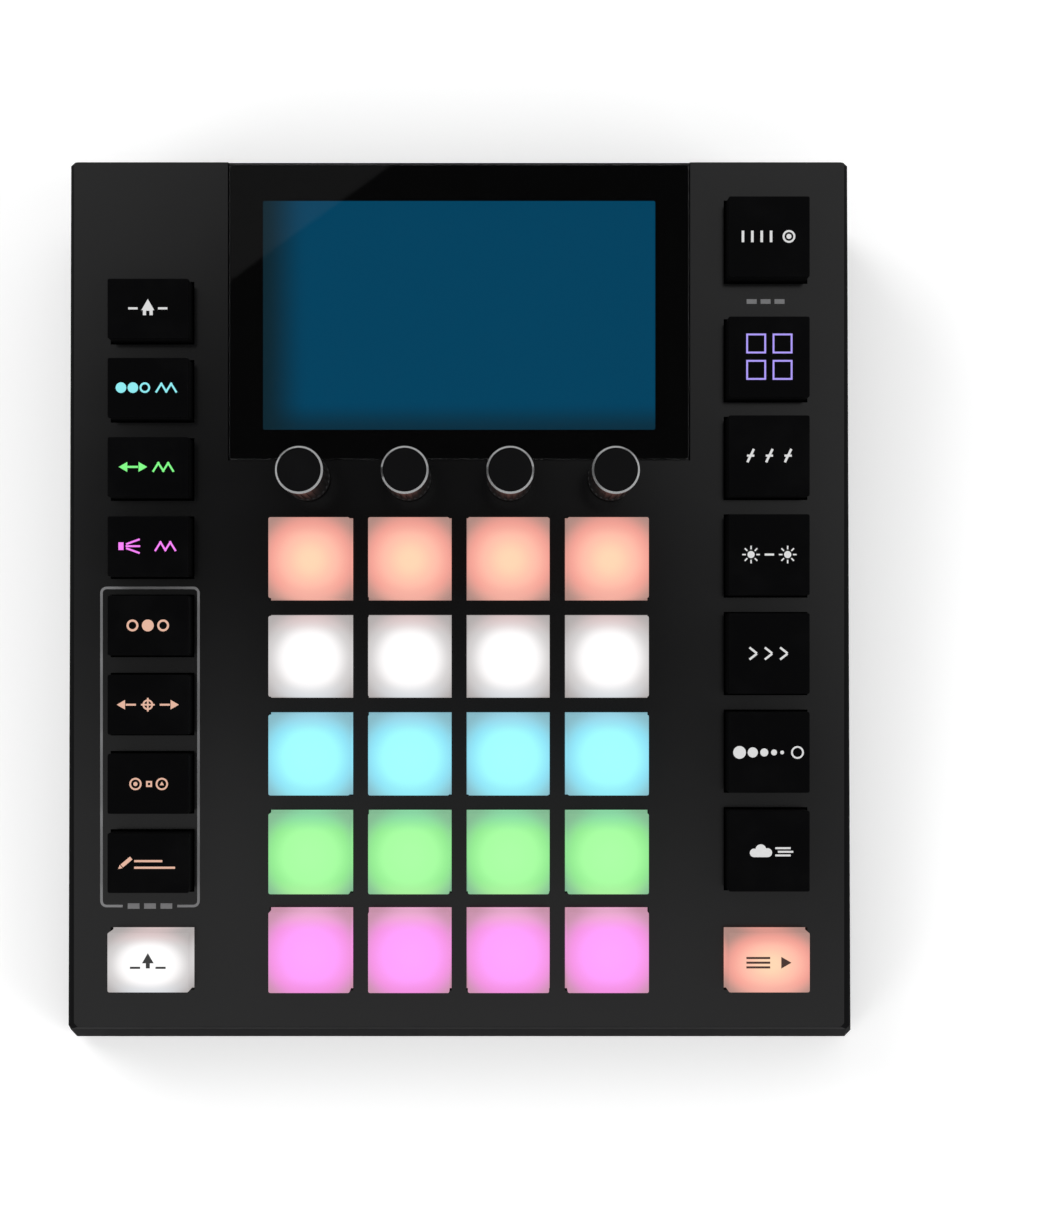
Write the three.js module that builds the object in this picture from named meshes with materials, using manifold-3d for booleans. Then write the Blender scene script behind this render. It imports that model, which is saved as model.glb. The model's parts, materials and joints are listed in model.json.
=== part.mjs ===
// Lighting control desk: a compact wedge-shaped DMX desk with a recessed touch display, four push
// encoders, twenty lit pads and seventeen function keys over a steel tray that carries the sockets.
// Millimetres. +Z is up, -Y faces the operator, and the origin is the centre of the footprint.
import * as THREE from "three";
import { ConvexGeometry } from "three/addons/geometries/ConvexGeometry.js";
import { mergeVertices } from "three/addons/utils/BufferGeometryUtils.js";
import Module from "manifold-3d";

// ---- Driving dimensions -----------------------------------------------------------------------

const GAP = 0.3; // clearance between pieces that touch on the real desk

// Case
const FOOT_HEIGHT = 3;
const TILT = THREE.MathUtils.degToRad(5); // the panel leans towards the operator
const PANEL_WIDTH = 183.5;
const PANEL_DEPTH = 205.9;
const PANEL_THICKNESS = 2.5;
const FRONT_HEIGHT = 20; // front edge of the panel above the underside of the case
const BASE_WIDTH = 196;
const FRONT_FLARE = 5.5; // how far the base runs out in front of the panel's front edge
const REAR_LIP = 0.4; // panel's rear edge to the rear wall plane
const BEVEL_DROP = 1.2; // height of the bevel round the panel
const BEVEL_REAR = 0.95; // its run at the rear end of each side
const BEVEL_FRONT = 1.6; // its run at the front end of each side
const SKIN_CORNER = 0.9; // small diagonal at each upright edge
const FRONT_CORNER = 1.6; // the same at the two front corners of the base
const WALL = 2.2;
const TOP_WALL = 1.6; // wall where it meets the panel, under the bevel
const OPEN_REAR = 2; // how far the hollow runs out past the rear wall, to leave it open
const STEEL = 1.2; // sheet thickness of the tray
const BOSS_X = 88.2;
const BOSS_YS = [-92, -15, 62];
const BOSS_RADIUS = 3.2;
const PILOT_RADIUS = 1.25; // for a 3 mm thread-forming screw
const PILOT_DEPTH = 10;
const SCREW_HOLE = 1.8;
const FOOT_RADIUS = 7;
const FOOT_CHAMFER = 0.8;
const POST_RADIUS = 2.2; // posts under the panel that carry the main board
const POSTS = [[57.6, 45], [54, -14], [54, -88]];

// Keys and pads, in the panel's own plane: u to the right, v towards the rear, w out of the panel
const KEY_RISE = 4.8; // cap height above the panel
const KEY_TRAVEL = 1.2;
const KEY_CORNER = 0.7;
const KEY_SLOT_GAP = 0.4;
const KEY_FLANGE = 0.8; // retaining flange: how far it runs out, and its thickness
const KEY_STEM = 1.4; // plunger below the flange
const STEM_WIDTH = 6;
const KEY_WIDTH = 19.1;
const SHORT_KEY = 14.1; // front-to-back length of the left-hand keys and the two front keys
const LONG_KEY = 19.0; // front-to-back length of the right-hand keys and the pads
const KEY_COLUMN = 73.0; // key column centre, each side of the centre line
const FRONT_KEYS_V = -86.7; // the two lit keys at the front
const PAD_PITCH_U = 23.45;
const PAD_PITCH_V = 23.22;
const PAD_ROWS = 5;
const PAD_COLUMNS = 4;
const PADS_CENTRE_V = -37.95;
const LEFT_FIRST_V = 67.0;
const LEFT_PITCH = 18.62;
const RIGHT_FIRST_V = 55.65;
const RIGHT_PITCH = 23.24;
const TAP_KEY_V = 83.9;

// Display
const GLASS_WIDTH = 109.5;
const GLASS_FRONT_V = 32.25; // front edge of the glass; it runs back to the rear edge of the panel
const GLASS_THICKNESS = 1;
const WINDOW_WIDTH = 96;
const WINDOW_DEPTH = 57;
const DISPLAY_V = 66.65;
const DISPLAY_FRAME = [105.5, 66.5];
const DISPLAY_THICKNESS = 3.2;

// Encoders
const ENCODER_PITCH = 24;
const ENCODER_V = 27.6;
const SHAFT_RADIUS = 3;
const BUSHING_RADIUS = 3.9;
const SHAFT_BOTTOM = -7.0;
const SHAFT_TOP = 12.6;
const KNOB_RADIUS = 5.45;
const KNOB_BOTTOM = 1.1;
const KNOB_TOP = 16.6;

// Boards, as depths below the panel surface
const MAT_THICKNESS = 1.5;
const DOME_RISE = 0.25;
const DOME_CLEARANCE = 0.05; // left between a fully pressed key's stem and its dome
const BOARD_TOP = -10;
const BOARD_THICKNESS = 1.6;
const BOARD_HALF_WIDTH = 84.4;
const BOARD_FRONT_V = -97;
const BOARD_REAR_V = 76;
const TONGUE_U = 58; // board and mat run further back beside the display, under the tap key
const TONGUE_REAR_V = 96.5;
const MAT_TONGUE_U = 62.5;
const MAT_BAY_V = 18.5; // the mat stops here between the key columns, clear of the encoders
const HOUSING = [12, 12.4, -4]; // an encoder's housing: width, depth and top
const HOUSING_OFFSET = -1.2;
const PROCESSOR = { size: 24, v: 50, height: 2.4 };
const HEADER = { us: [-30, 30], v: 66, width: 22, depth: 6, height: 4.5 };
const SOLDER = 0.5; // how far a soldered part reaches into its board

// Rear sockets
const DMX_XS = [-74, -46, -18, 10];
const DMX_HEIGHT = 19.5; // axis above the surface the desk stands on
const DMX_BARREL = 11.6;
const DMX_HOLE = 12;
const DMX_DEPTH = 22;
const DMX_GROOVE = { inner: 7.3, outer: 9.75, depth: 12 };
const DMX_INSERT = 1.4; // face of the insert above the flange's back
const DMX_FLANGE = { width: 26, height: 31, corner: 2, thickness: 1.6, ring: 10.3 };
const DMX_CONTACT = { angles: [90, 210, 330], circle: 4.4, radius: 1.4, depth: 8 };
const DMX_SCREW = { x: 9.5, y: 12, radius: 1.6 };
const SOCKET_GAP = 0.1; // flange to the rear wall
const SOCKET_RIM = 2.6; // collar above the rear wall
const PORT_PROUD = 0.4; // the small ports' faces above the rear wall
const PORT_FLOOR = 8; // top of the socket board
const PORT_SINK = 0.4; // how far the ports' shells reach into the board
const IO_BOARD = { left: 26, right: 89, depth: 34, legs: [6, 30], inset: 4, legRadius: 2 };
const TONGUE_SETBACK = 1.25; // front of a USB tongue behind its shell's face
const PORTS = [
  { x: 31, width: 7.6, height: 6, depth: 13, hole: 1.8 },
  { x: 41, width: 7.6, height: 6, depth: 13, hole: 1.8 },
  { x: 51.5, width: 9, height: 3.4, depth: 8, bay: [8.2, 2.5, 6.5], tongue: [6.6, 0.7] },
  { x: 64.5, width: 13.2, height: 7, depth: 14, bay: [12.1, 5, 9], tongue: [10.4, 1.8] },
  { x: 80.5, width: 16, height: 13.5, depth: 21, bay: [11.9, 8, 13] },
];

// ---- Worked out from them -----------------------------------------------------------------------

const PANEL_REACH = (PANEL_DEPTH / 2) * Math.cos(TILT); // half the panel's depth, seen from above
const PANEL_Y = (FRONT_FLARE - REAR_LIP - SOCKET_RIM) / 2;
const PANEL_Z = FOOT_HEIGHT + FRONT_HEIGHT + (PANEL_DEPTH / 2) * Math.sin(TILT);
const REAR_Y = PANEL_Y + PANEL_REACH + REAR_LIP;
const FRONT_Y = PANEL_Y - PANEL_REACH - FRONT_FLARE;
const CASE_BOTTOM = FOOT_HEIGHT;
const INNER_TOP_HALF = PANEL_WIDTH / 2 - TOP_WALL;
const INNER_BASE_HALF = BASE_WIDTH / 2 - WALL;
const RECESS = GLASS_THICKNESS + GAP;
const FLANGE_TOP = -PANEL_THICKNESS - GAP;
const STEM_BOTTOM = FLANGE_TOP - KEY_FLANGE - KEY_STEM;
const MAT_TOP = STEM_BOTTOM - KEY_TRAVEL - DOME_CLEARANCE - DOME_RISE;
const BOARD_BOTTOM = PORT_FLOOR - BOARD_THICKNESS;

// ---- Geometry helpers -----------------------------------------------------------------------------

const wasm = await Module();
wasm.setup();

// A closed geometry as a manifold solid, with its faces turned outwards.
function solid(geometry) {
  const bare = geometry.clone();
  bare.deleteAttribute("normal");
  bare.deleteAttribute("uv");
  const merged = mergeVertices(bare, 1e-4);
  const corners = Array.from(merged.index.array);
  const build = (order) => new wasm.Manifold(new wasm.Mesh({
    numProp: 3,
    vertProperties: Float32Array.from(merged.attributes.position.array),
    triVerts: Uint32Array.from(order),
  }));
  const made = build(corners);
  return made.volume() < 0 ? build(corners.reverse()) : made;
}

const join = (pieces) => pieces.reduce((all, piece) => all.add(piece));
const cut = (body, tools) => body.subtract(join(tools));

function geometryOf(manifold) {
  const { vertProperties, triVerts } = manifold.getMesh();
  const geometry = new THREE.BufferGeometry();
  geometry.setAttribute("position", new THREE.BufferAttribute(vertProperties, 3));
  geometry.setIndex(new THREE.BufferAttribute(triVerts, 1));
  const flat = geometry.toNonIndexed();
  flat.computeVertexNormals();
  return flat;
}

// A box by its centre in plan and its lowest and highest level.
function block(width, depth, low, high, x = 0, y = 0) {
  const geometry = new THREE.BoxGeometry(width, depth, high - low);
  return solid(geometry.translate(x, y, (low + high) / 2));
}

// An upright cylinder by its foot and its top.
function post(radius, low, high, x = 0, y = 0, sides = 16) {
  const geometry = new THREE.CylinderGeometry(radius, radius, high - low, sides);
  return solid(geometry.rotateX(Math.PI / 2).translate(x, y, (low + high) / 2));
}

// A solid of revolution about Z. The profile is a list of [radius, level] that starts and ends on the axis.
function turned(profile, sides = 24) {
  const points = profile.map(([radius, level]) => new THREE.Vector2(radius, level));
  return solid(new THREE.LatheGeometry(points, sides).rotateX(Math.PI / 2));
}

function roundedRectangle(width, depth, radius) {
  const [x, y] = [width / 2 - radius, depth / 2 - radius];
  const shape = new THREE.Shape();
  shape.absarc(x, y, radius, 0, Math.PI / 2);
  shape.absarc(-x, y, radius, Math.PI / 2, Math.PI);
  shape.absarc(-x, -y, radius, Math.PI, 1.5 * Math.PI);
  shape.absarc(x, -y, radius, 1.5 * Math.PI, 2 * Math.PI);
  return shape;
}

function slab(shape, low, high, curveSegments = 2) {
  const options = { depth: high - low, bevelEnabled: false, curveSegments };
  return solid(new THREE.ExtrudeGeometry(shape, options).translate(0, 0, low));
}

const outline = (points) => new THREE.Shape(points.map(([x, y]) => new THREE.Vector2(x, y)));

function roundHole(x, y, radius, sides) {
  const angles = Array.from({ length: sides }, (_, i) => (2 * Math.PI * i) / sides);
  return outline(angles.map((a) => [x + radius * Math.cos(a), y + radius * Math.sin(a)]));
}

// ---- Scene graph ----------------------------------------------------------------------------------

const desk = new THREE.Group();
const panel = new THREE.Group(); // everything laid out in the panel's tilted plane
panel.position.set(0, PANEL_Y, PANEL_Z);
panel.rotation.x = TILT;
desk.add(panel);
panel.updateMatrix();

const panelPoint = (u, v, w) => new THREE.Vector3(u, v, w).applyMatrix4(panel.matrix);
const panelSolid = (manifold) => solid(geometryOf(manifold).applyMatrix4(panel.matrix));

function finish(color, roughness, metalness = 0) {
  return new THREE.MeshStandardMaterial({ color, roughness, metalness });
}

const FINISHES = {
  charcoal: finish(0x1c1c1d, 0.62),
  steel: finish(0x1b1c1e, 0.5, 0.6),
  glass: finish(0x050506, 0.06),
  display: finish(0x06435c, 0.3),
  keyBlack: finish(0x08080a, 0.42),
  lit: {
    peach: finish(0xffb195, 0.45),
    white: finish(0xf4efee, 0.45),
    cyan: finish(0x96faff, 0.45),
    green: finish(0xa5ffa0, 0.45),
    pink: finish(0xff98fa, 0.45),
  },
  knob: finish(0x111112, 0.55),
  shaft: finish(0xc4c6c8, 0.3, 1),
  board: finish(0x123a26, 0.6),
  silicone: finish(0xd8d8d2, 0.7),
  rubber: finish(0x18181a, 0.9),
  socket: finish(0x202124, 0.4, 0.5),
};

function add(group, name, manifold, material) {
  const mesh = new THREE.Mesh(geometryOf(manifold), material);
  mesh.name = name;
  group.add(mesh);
  return mesh;
}

// ---- Key and pad layout ---------------------------------------------------------------------------

const LIT_ROWS = ["peach", "white", "cyan", "green", "pink"];

function leftKeys() {
  const names = ["home", "color_fx", "move_fx", "beam_fx", "color", "position", "gobo", "live_edit"];
  const column = names.map((name, i) => ({
    name: `key_${name}`, u: -KEY_COLUMN, v: LEFT_FIRST_V - i * LEFT_PITCH, length: SHORT_KEY,
  }));
  return [...column,
    { name: "key_shift", u: -KEY_COLUMN, v: FRONT_KEYS_V, length: SHORT_KEY, lit: "white" }];
}

function rightKeys() {
  const names = ["groups", "strobe", "blinder", "speed", "blackout", "smoke"];
  const column = names.map((name, i) => ({
    name: `key_${name}`, u: KEY_COLUMN, v: RIGHT_FIRST_V - i * RIGHT_PITCH, length: LONG_KEY,
  }));
  return [{ name: "key_tap", u: KEY_COLUMN, v: TAP_KEY_V, length: LONG_KEY },
    ...column,
    { name: "key_preset", u: KEY_COLUMN, v: FRONT_KEYS_V, length: SHORT_KEY, lit: "peach" }];
}

function pads() {
  const list = [];
  for (let row = 0; row < PAD_ROWS; row++)
    for (let column = 0; column < PAD_COLUMNS; column++)
      list.push({
        name: `pad_r${row + 1}_c${column + 1}`,
        u: (column - (PAD_COLUMNS - 1) / 2) * PAD_PITCH_U,
        v: PADS_CENTRE_V - (row - (PAD_ROWS - 1) / 2) * PAD_PITCH_V,
        length: LONG_KEY,
        lit: LIT_ROWS[row],
      });
  return list;
}

const KEYS = [...leftKeys(), ...rightKeys(), ...pads()];
const ENCODER_US = [-1.5, -0.5, 0.5, 1.5].map((step) => step * ENCODER_PITCH);

// ---- Case -----------------------------------------------------------------------------------------

// Corner points of the case's outer skin: the panel, the bevel's lower edge, and the base.
function outerSkin() {
  const half = PANEL_WIDTH / 2;
  const rear = PANEL_DEPTH / 2;
  const soft = SKIN_CORNER;
  const frontRun = BEVEL_FRONT / 2; // the bevel's run along the front edge
  const ring = [];
  for (const side of [-1, 1]) {
    ring.push(panelPoint(side * (half - soft), -rear, 0));
    ring.push(panelPoint(side * half, -rear + soft, 0));
    ring.push(panelPoint(side * half, rear - soft, 0));
    ring.push(panelPoint(side * (half - soft), rear, 0));
    ring.push(panelPoint(side * (half + BEVEL_FRONT - soft), -rear - frontRun, -BEVEL_DROP));
    ring.push(panelPoint(side * (half + BEVEL_FRONT), -rear - frontRun + soft, -BEVEL_DROP));
    const shoulder = panelPoint(side * (half + BEVEL_REAR), rear, -BEVEL_DROP);
    ring.push(shoulder.clone().setY(REAR_Y - soft));
    ring.push(shoulder.clone().setX(side * (half + BEVEL_REAR - soft)).setY(REAR_Y));
    ring.push(new THREE.Vector3(side * (BASE_WIDTH / 2 - FRONT_CORNER), FRONT_Y, CASE_BOTTOM));
    ring.push(new THREE.Vector3(side * (BASE_WIDTH / 2), FRONT_Y + FRONT_CORNER, CASE_BOTTOM));
    ring.push(new THREE.Vector3(side * (BASE_WIDTH / 2), REAR_Y - soft, CASE_BOTTOM));
    ring.push(new THREE.Vector3(side * (BASE_WIDTH / 2 - soft), REAR_Y, CASE_BOTTOM));
  }
  return solid(new ConvexGeometry(ring));
}

// The hollow under the panel: open below and at the rear, where the steel tray closes it.
function innerHollow() {
  const [front, rear] = [FRONT_Y + WALL, REAR_Y + OPEN_REAR];
  const ledge = CASE_BOTTOM + STEEL + GAP; // the walls run straight up past the tray's floor
  const corners = [];
  for (const side of [-1, 1]) {
    corners.push(panelPoint(side * INNER_TOP_HALF, TOP_WALL - PANEL_DEPTH / 2, -PANEL_THICKNESS));
    corners.push(panelPoint(side * INNER_TOP_HALF, PANEL_DEPTH / 2 + OPEN_REAR, -PANEL_THICKNESS));
    corners.push(new THREE.Vector3(side * INNER_BASE_HALF, front, ledge));
    corners.push(new THREE.Vector3(side * INNER_BASE_HALF, rear, ledge));
  }
  const seat = block(2 * INNER_BASE_HALF, rear - front, CASE_BOTTOM - 1, ledge + 0.01,
    0, (front + rear) / 2);
  return solid(new ConvexGeometry(corners)).add(seat);
}

function topCase() {
  const shell = outerSkin().subtract(innerHollow());
  const undersideAt = (y) => PANEL_Z + (y - PANEL_Y) * Math.tan(TILT) - PANEL_THICKNESS;
  const bosses = BOSS_YS.flatMap((y) => [-1, 1].map((side) =>
    post(BOSS_RADIUS, CASE_BOTTOM + STEEL + GAP, undersideAt(y) + 1, side * BOSS_X, y, 12)));
  const boardPosts = POSTS.flatMap(([u, v]) => [-1, 1].map((side) =>
    panelSolid(post(POST_RADIUS, BOARD_TOP + GAP, 1 - PANEL_THICKNESS, side * u, v, 10))));
  const pilots = BOSS_YS.flatMap((y) => [-1, 1].map((side) =>
    post(PILOT_RADIUS, CASE_BOTTOM, CASE_BOTTOM + STEEL + PILOT_DEPTH, side * BOSS_X, y, 8)));

  const through = PANEL_THICKNESS + 1;
  const keySlots = KEYS.map(({ u, v, length }) =>
    block(KEY_WIDTH + 2 * KEY_SLOT_GAP, length + 2 * KEY_SLOT_GAP, -through, 1, u, v));
  const encoderHoles = ENCODER_US.flatMap((u) => [
    post(SHAFT_RADIUS + 0.4, -through, 1, u, ENCODER_V),
    post(BUSHING_RADIUS + GAP, -through, -RECESS, u, ENCODER_V),
  ]);
  const recessFront = GLASS_FRONT_V - GAP;
  const recessRear = PANEL_DEPTH / 2 + OPEN_REAR;
  const recess = block(GLASS_WIDTH + 2 * GAP, recessRear - recessFront, -RECESS, 1,
    0, (recessFront + recessRear) / 2);
  const window = block(WINDOW_WIDTH, WINDOW_DEPTH, -through, 1, 0, DISPLAY_V);
  const cuts = [...keySlots, ...encoderHoles, recess, window].map(panelSolid);
  return cut(join([shell, ...bosses, ...boardPosts]), [...cuts, ...pilots]);
}

// Folded steel tray: floor and rear wall, with the rear wall pierced for the sockets.
function bottomCase() {
  const floorHalf = INNER_BASE_HALF - 2 * GAP;
  const floorFront = FRONT_Y + WALL + 2 * GAP;
  const floor = block(2 * floorHalf, REAR_Y - floorFront, CASE_BOTTOM, CASE_BOTTOM + STEEL,
    0, (REAR_Y + floorFront) / 2);
  const screwHoles = BOSS_YS.flatMap((y) => [-1, 1].map((side) =>
    post(SCREW_HOLE, CASE_BOTTOM - 1, CASE_BOTTOM + STEEL + 1, side * BOSS_X, y, 10)));

  const wallTop = panelPoint(0, PANEL_DEPTH / 2, -PANEL_THICKNESS).z - 2 * GAP;
  const wall = outline([[-floorHalf, CASE_BOTTOM], [floorHalf, CASE_BOTTOM],
    [INNER_TOP_HALF - 2 * GAP, wallTop], [2 * GAP - INNER_TOP_HALF, wallTop]]);
  const dmxHoles = DMX_XS.map((x) => post(DMX_HOLE, -1, STEEL + 1, x, DMX_HEIGHT, 24));
  const portHoles = PORTS.map(({ x, width, height }) =>
    block(width + 2 * GAP, height + PORT_SINK + 2 * GAP, -1, STEEL + 1,
      x, PORT_FLOOR + (height - PORT_SINK) / 2));
  const pierced = geometryOf(cut(slab(wall, 0, STEEL), [...dmxHoles, ...portHoles]));
  const rearWall = solid(pierced.rotateX(Math.PI / 2).translate(0, REAR_Y, 0));
  return cut(join([floor, rearWall]), screwHoles);
}

add(desk, "top_case", topCase(), FINISHES.charcoal);
add(desk, "bottom_case", bottomCase(), FINISHES.steel);

const FOOT_PLACES = {
  front_left: [-74, -84], front_right: [74, -84], rear_left: [-74, 86], rear_right: [74, 86],
};
for (const [place, [x, y]] of Object.entries(FOOT_PLACES)) {
  const profile = [[0, 0], [FOOT_RADIUS - FOOT_CHAMFER, 0], [FOOT_RADIUS, FOOT_CHAMFER],
    [FOOT_RADIUS, FOOT_HEIGHT - GAP], [0, FOOT_HEIGHT - GAP]];
  const foot = add(desk, `foot_${place}`, turned(profile, 20), FINISHES.rubber);
  foot.position.set(x, y, 0);
}

// ---- Display --------------------------------------------------------------------------------------

const glassDepth = PANEL_DEPTH / 2 - GAP - GLASS_FRONT_V;
const glass = add(panel, "screen_glass", slab(roundedRectangle(GLASS_WIDTH, glassDepth, SKIN_CORNER),
  -GLASS_THICKNESS, 0), FINISHES.glass);
glass.position.y = GLASS_FRONT_V + glassDepth / 2;

function displayModule() {
  const top = FLANGE_TOP;
  const frame = block(...DISPLAY_FRAME, top - DISPLAY_THICKNESS, top);
  const cell = block(WINDOW_WIDTH - 4 * GAP, WINDOW_DEPTH - 4 * GAP, top - 1, -RECESS - 0.2);
  return frame.add(cell);
}

add(panel, "display_module", displayModule(), FINISHES.display).position.y = DISPLAY_V;

// ---- Keys and pads ----------------------------------------------------------------------------------

function keyCap(length) {
  const flangeBottom = FLANGE_TOP - KEY_FLANGE;
  const cap = slab(roundedRectangle(KEY_WIDTH, length, KEY_CORNER), flangeBottom, KEY_RISE, 1);
  const flange = block(KEY_WIDTH + 2 * KEY_FLANGE, length + 2 * KEY_FLANGE, flangeBottom, FLANGE_TOP);
  const stem = block(STEM_WIDTH, STEM_WIDTH, STEM_BOTTOM, FLANGE_TOP);
  return join([cap, flange, stem]);
}

const CAPS = new Map([SHORT_KEY, LONG_KEY].map((length) => [length, keyCap(length)]));
for (const { name, u, v, length, lit } of KEYS) {
  const key = add(panel, name, CAPS.get(length), lit ? FINISHES.lit[lit] : FINISHES.keyBlack);
  key.position.set(u, v, 0);
}

// ---- Encoders ---------------------------------------------------------------------------------------

function shaft() {
  const round = turned([[0, SHAFT_BOTTOM], [SHAFT_RADIUS, SHAFT_BOTTOM],
    [SHAFT_RADIUS, SHAFT_TOP - 0.4], [SHAFT_RADIUS - 0.4, SHAFT_TOP], [0, SHAFT_TOP]], 20);
  const flat = block(4, 2 * SHAFT_RADIUS, 2.5, SHAFT_TOP + 1, 2 + 1.6); // the D-flat that drives the knob
  return round.subtract(flat);
}

function knob() {
  const bore = SHAFT_RADIUS + GAP;
  const ceiling = SHAFT_TOP + GAP + 0.2;
  return turned([[0, ceiling], [bore, ceiling], [bore, KNOB_BOTTOM], [KNOB_RADIUS - 0.2, KNOB_BOTTOM],
    [KNOB_RADIUS, KNOB_BOTTOM + 0.4], [KNOB_RADIUS, KNOB_TOP - 0.7], [KNOB_RADIUS - 0.7, KNOB_TOP],
    [0, KNOB_TOP]]);
}

ENCODER_US.forEach((u, i) => {
  const place = [u, ENCODER_V, 0];
  add(panel, `encoder_shaft_${i + 1}`, shaft(), FINISHES.shaft).position.set(...place);
  add(panel, `encoder_knob_${i + 1}`, knob(), FINISHES.knob).position.set(...place);
});

// ---- Boards -----------------------------------------------------------------------------------------

// Silicone mat with one dome under each key; the keys' stems stand on the domes.
function keyMat() {
  const [half, inner] = [BOARD_HALF_WIDTH, MAT_TONGUE_U];
  const sheet = outline([[-half, BOARD_FRONT_V], [half, BOARD_FRONT_V], [half, TONGUE_REAR_V],
    [inner, TONGUE_REAR_V], [inner, MAT_BAY_V], [-inner, MAT_BAY_V],
    [-inner, BOARD_REAR_V], [-half, BOARD_REAR_V]]);
  for (const [u, v] of POSTS.slice(1))
    for (const side of [-1, 1])
      sheet.holes.push(roundHole(side * u, v, POST_RADIUS + 2 * GAP, 12));
  const mat = slab(sheet, MAT_TOP - MAT_THICKNESS, MAT_TOP);
  const domes = KEYS.map(({ u, v }) => {
    const cone = new THREE.CylinderGeometry(STEM_WIDTH / 2, 4.5, MAT_THICKNESS, 8).rotateX(Math.PI / 2);
    return solid(cone.translate(u, v, MAT_TOP + DOME_RISE - MAT_THICKNESS / 2));
  });
  return join([mat, ...domes]);
}

// Main board with the four encoder housings, the processor and the cable headers soldered on.
function mainBoard() {
  const half = BOARD_HALF_WIDTH;
  const low = BOARD_TOP - BOARD_THICKNESS;
  const sheet = outline([[-half, BOARD_FRONT_V], [half, BOARD_FRONT_V], [half, TONGUE_REAR_V],
    [TONGUE_U, TONGUE_REAR_V], [TONGUE_U, BOARD_REAR_V], [-half, BOARD_REAR_V]]);
  const [housingWidth, housingDepth, housingTop] = HOUSING;
  const housings = ENCODER_US.flatMap((u) => [
    block(housingWidth, housingDepth, BOARD_TOP - SOLDER, housingTop, u, ENCODER_V + HOUSING_OFFSET),
    post(BUSHING_RADIUS, housingTop - 1, -RECESS - GAP, u, ENCODER_V),
  ]);
  const wells = ENCODER_US.map((u) =>
    post(SHAFT_RADIUS + GAP, SHAFT_BOTTOM - 1.2, 0, u, ENCODER_V));
  const processor = block(PROCESSOR.size, PROCESSOR.size, low - PROCESSOR.height, low + SOLDER,
    0, PROCESSOR.v);
  const headers = HEADER.us.map((u) =>
    block(HEADER.width, HEADER.depth, low - HEADER.height, low + SOLDER, u, HEADER.v));
  return cut(join([slab(sheet, low, BOARD_TOP), ...housings, processor, ...headers]), wells);
}

add(panel, "key_mat", keyMat(), FINISHES.silicone);
add(panel, "main_board", mainBoard(), FINISHES.board);

// ---- Rear sockets -------------------------------------------------------------------------------------

// Three-pole DMX outlet: flange, collar, ring groove round the insert, and three contact holes.
function dmxSocket() {
  const rim = SOCKET_RIM - SOCKET_GAP;
  const { inner, outer, depth } = DMX_GROOVE;
  const barrel = turned([[0, -DMX_DEPTH], [DMX_BARREL, -DMX_DEPTH], [DMX_BARREL, 1],
    [DMX_BARREL - 0.6, rim], [outer, rim], [outer, -depth], [inner, -depth],
    [inner, DMX_INSERT], [0, DMX_INSERT]], 20);
  const { width, height, corner, thickness, ring } = DMX_FLANGE;
  const flange = slab(roundedRectangle(width, height, corner), 0, thickness)
    .subtract(post(ring, -1, thickness + 1, 0, 0, 20));
  const contacts = DMX_CONTACT.angles.map((angle) => {
    const turn = THREE.MathUtils.degToRad(angle);
    const [x, y] = [DMX_CONTACT.circle * Math.cos(turn), DMX_CONTACT.circle * Math.sin(turn)];
    return post(DMX_CONTACT.radius, -DMX_CONTACT.depth, SOCKET_RIM, x, y, 6);
  });
  const screws = [-1, 1].map((side) =>
    post(DMX_SCREW.radius, -1, SOCKET_RIM, side * DMX_SCREW.x, side * DMX_SCREW.y, 6));
  return cut(join([flange, barrel]), [...contacts, ...screws]);
}

DMX_XS.forEach((x, i) => {
  const socket = add(desk, `dmx_socket_${i + 1}`, dmxSocket(), FINISHES.socket);
  socket.position.set(x, REAR_Y + SOCKET_GAP, DMX_HEIGHT);
  socket.rotation.x = -Math.PI / 2; // the socket's axis points out of the rear wall
});

// Socket board with the network, USB, and two mini-jack ports soldered along its rear edge.
function ioBoard() {
  const face = REAR_Y + PORT_PROUD;
  const boardRear = REAR_Y - STEEL - GAP;
  const { left, right, depth: boardDepth, legs, inset, legRadius } = IO_BOARD;
  const board = block(right - left, boardDepth, BOARD_BOTTOM, PORT_FLOOR,
    (left + right) / 2, boardRear - boardDepth / 2);
  const standoffs = [left + inset, right - inset].flatMap((x) => legs.map((back) =>
    post(legRadius, CASE_BOTTOM + STEEL + GAP, PORT_FLOOR - SOLDER, x, boardRear - back, 8)));
  const shells = PORTS.map(({ x, width, height, depth }) =>
    block(width, depth, PORT_FLOOR - PORT_SINK, PORT_FLOOR + height, x, face - depth / 2));
  const bays = PORTS.filter(({ bay }) => bay).map(({ x, height, bay: [w, h, d] }) => {
    const middle = PORT_FLOOR + height / 2;
    return block(w, d + 1, middle - h / 2, middle + h / 2, x, face + 0.5 - d / 2);
  });
  const jacks = PORTS.filter(({ hole }) => hole).map(({ x, height, hole }) => {
    const bore = new THREE.CylinderGeometry(hole, hole, 24, 12);
    return solid(bore.translate(x, face, PORT_FLOOR + height / 2));
  });
  const tongues = PORTS.filter(({ tongue }) => tongue).map(({ x, height, bay, tongue: [w, h] }) => {
    const middle = PORT_FLOOR + height / 2;
    const length = bay[2] - TONGUE_SETBACK + SOLDER; // it grows out of the bay's back wall
    return block(w, length, middle - h / 2, middle + h / 2, x, face - TONGUE_SETBACK - length / 2);
  });
  return cut(join([board, ...standoffs, ...shells]), [...bays, ...jacks]).add(join(tongues));
}

add(desk, "io_board", ioBoard(), FINISHES.board);

export default desk;
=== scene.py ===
"""Finished looks of a compact lighting control desk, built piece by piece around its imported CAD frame."""
import contextlib
import json
import math

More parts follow.
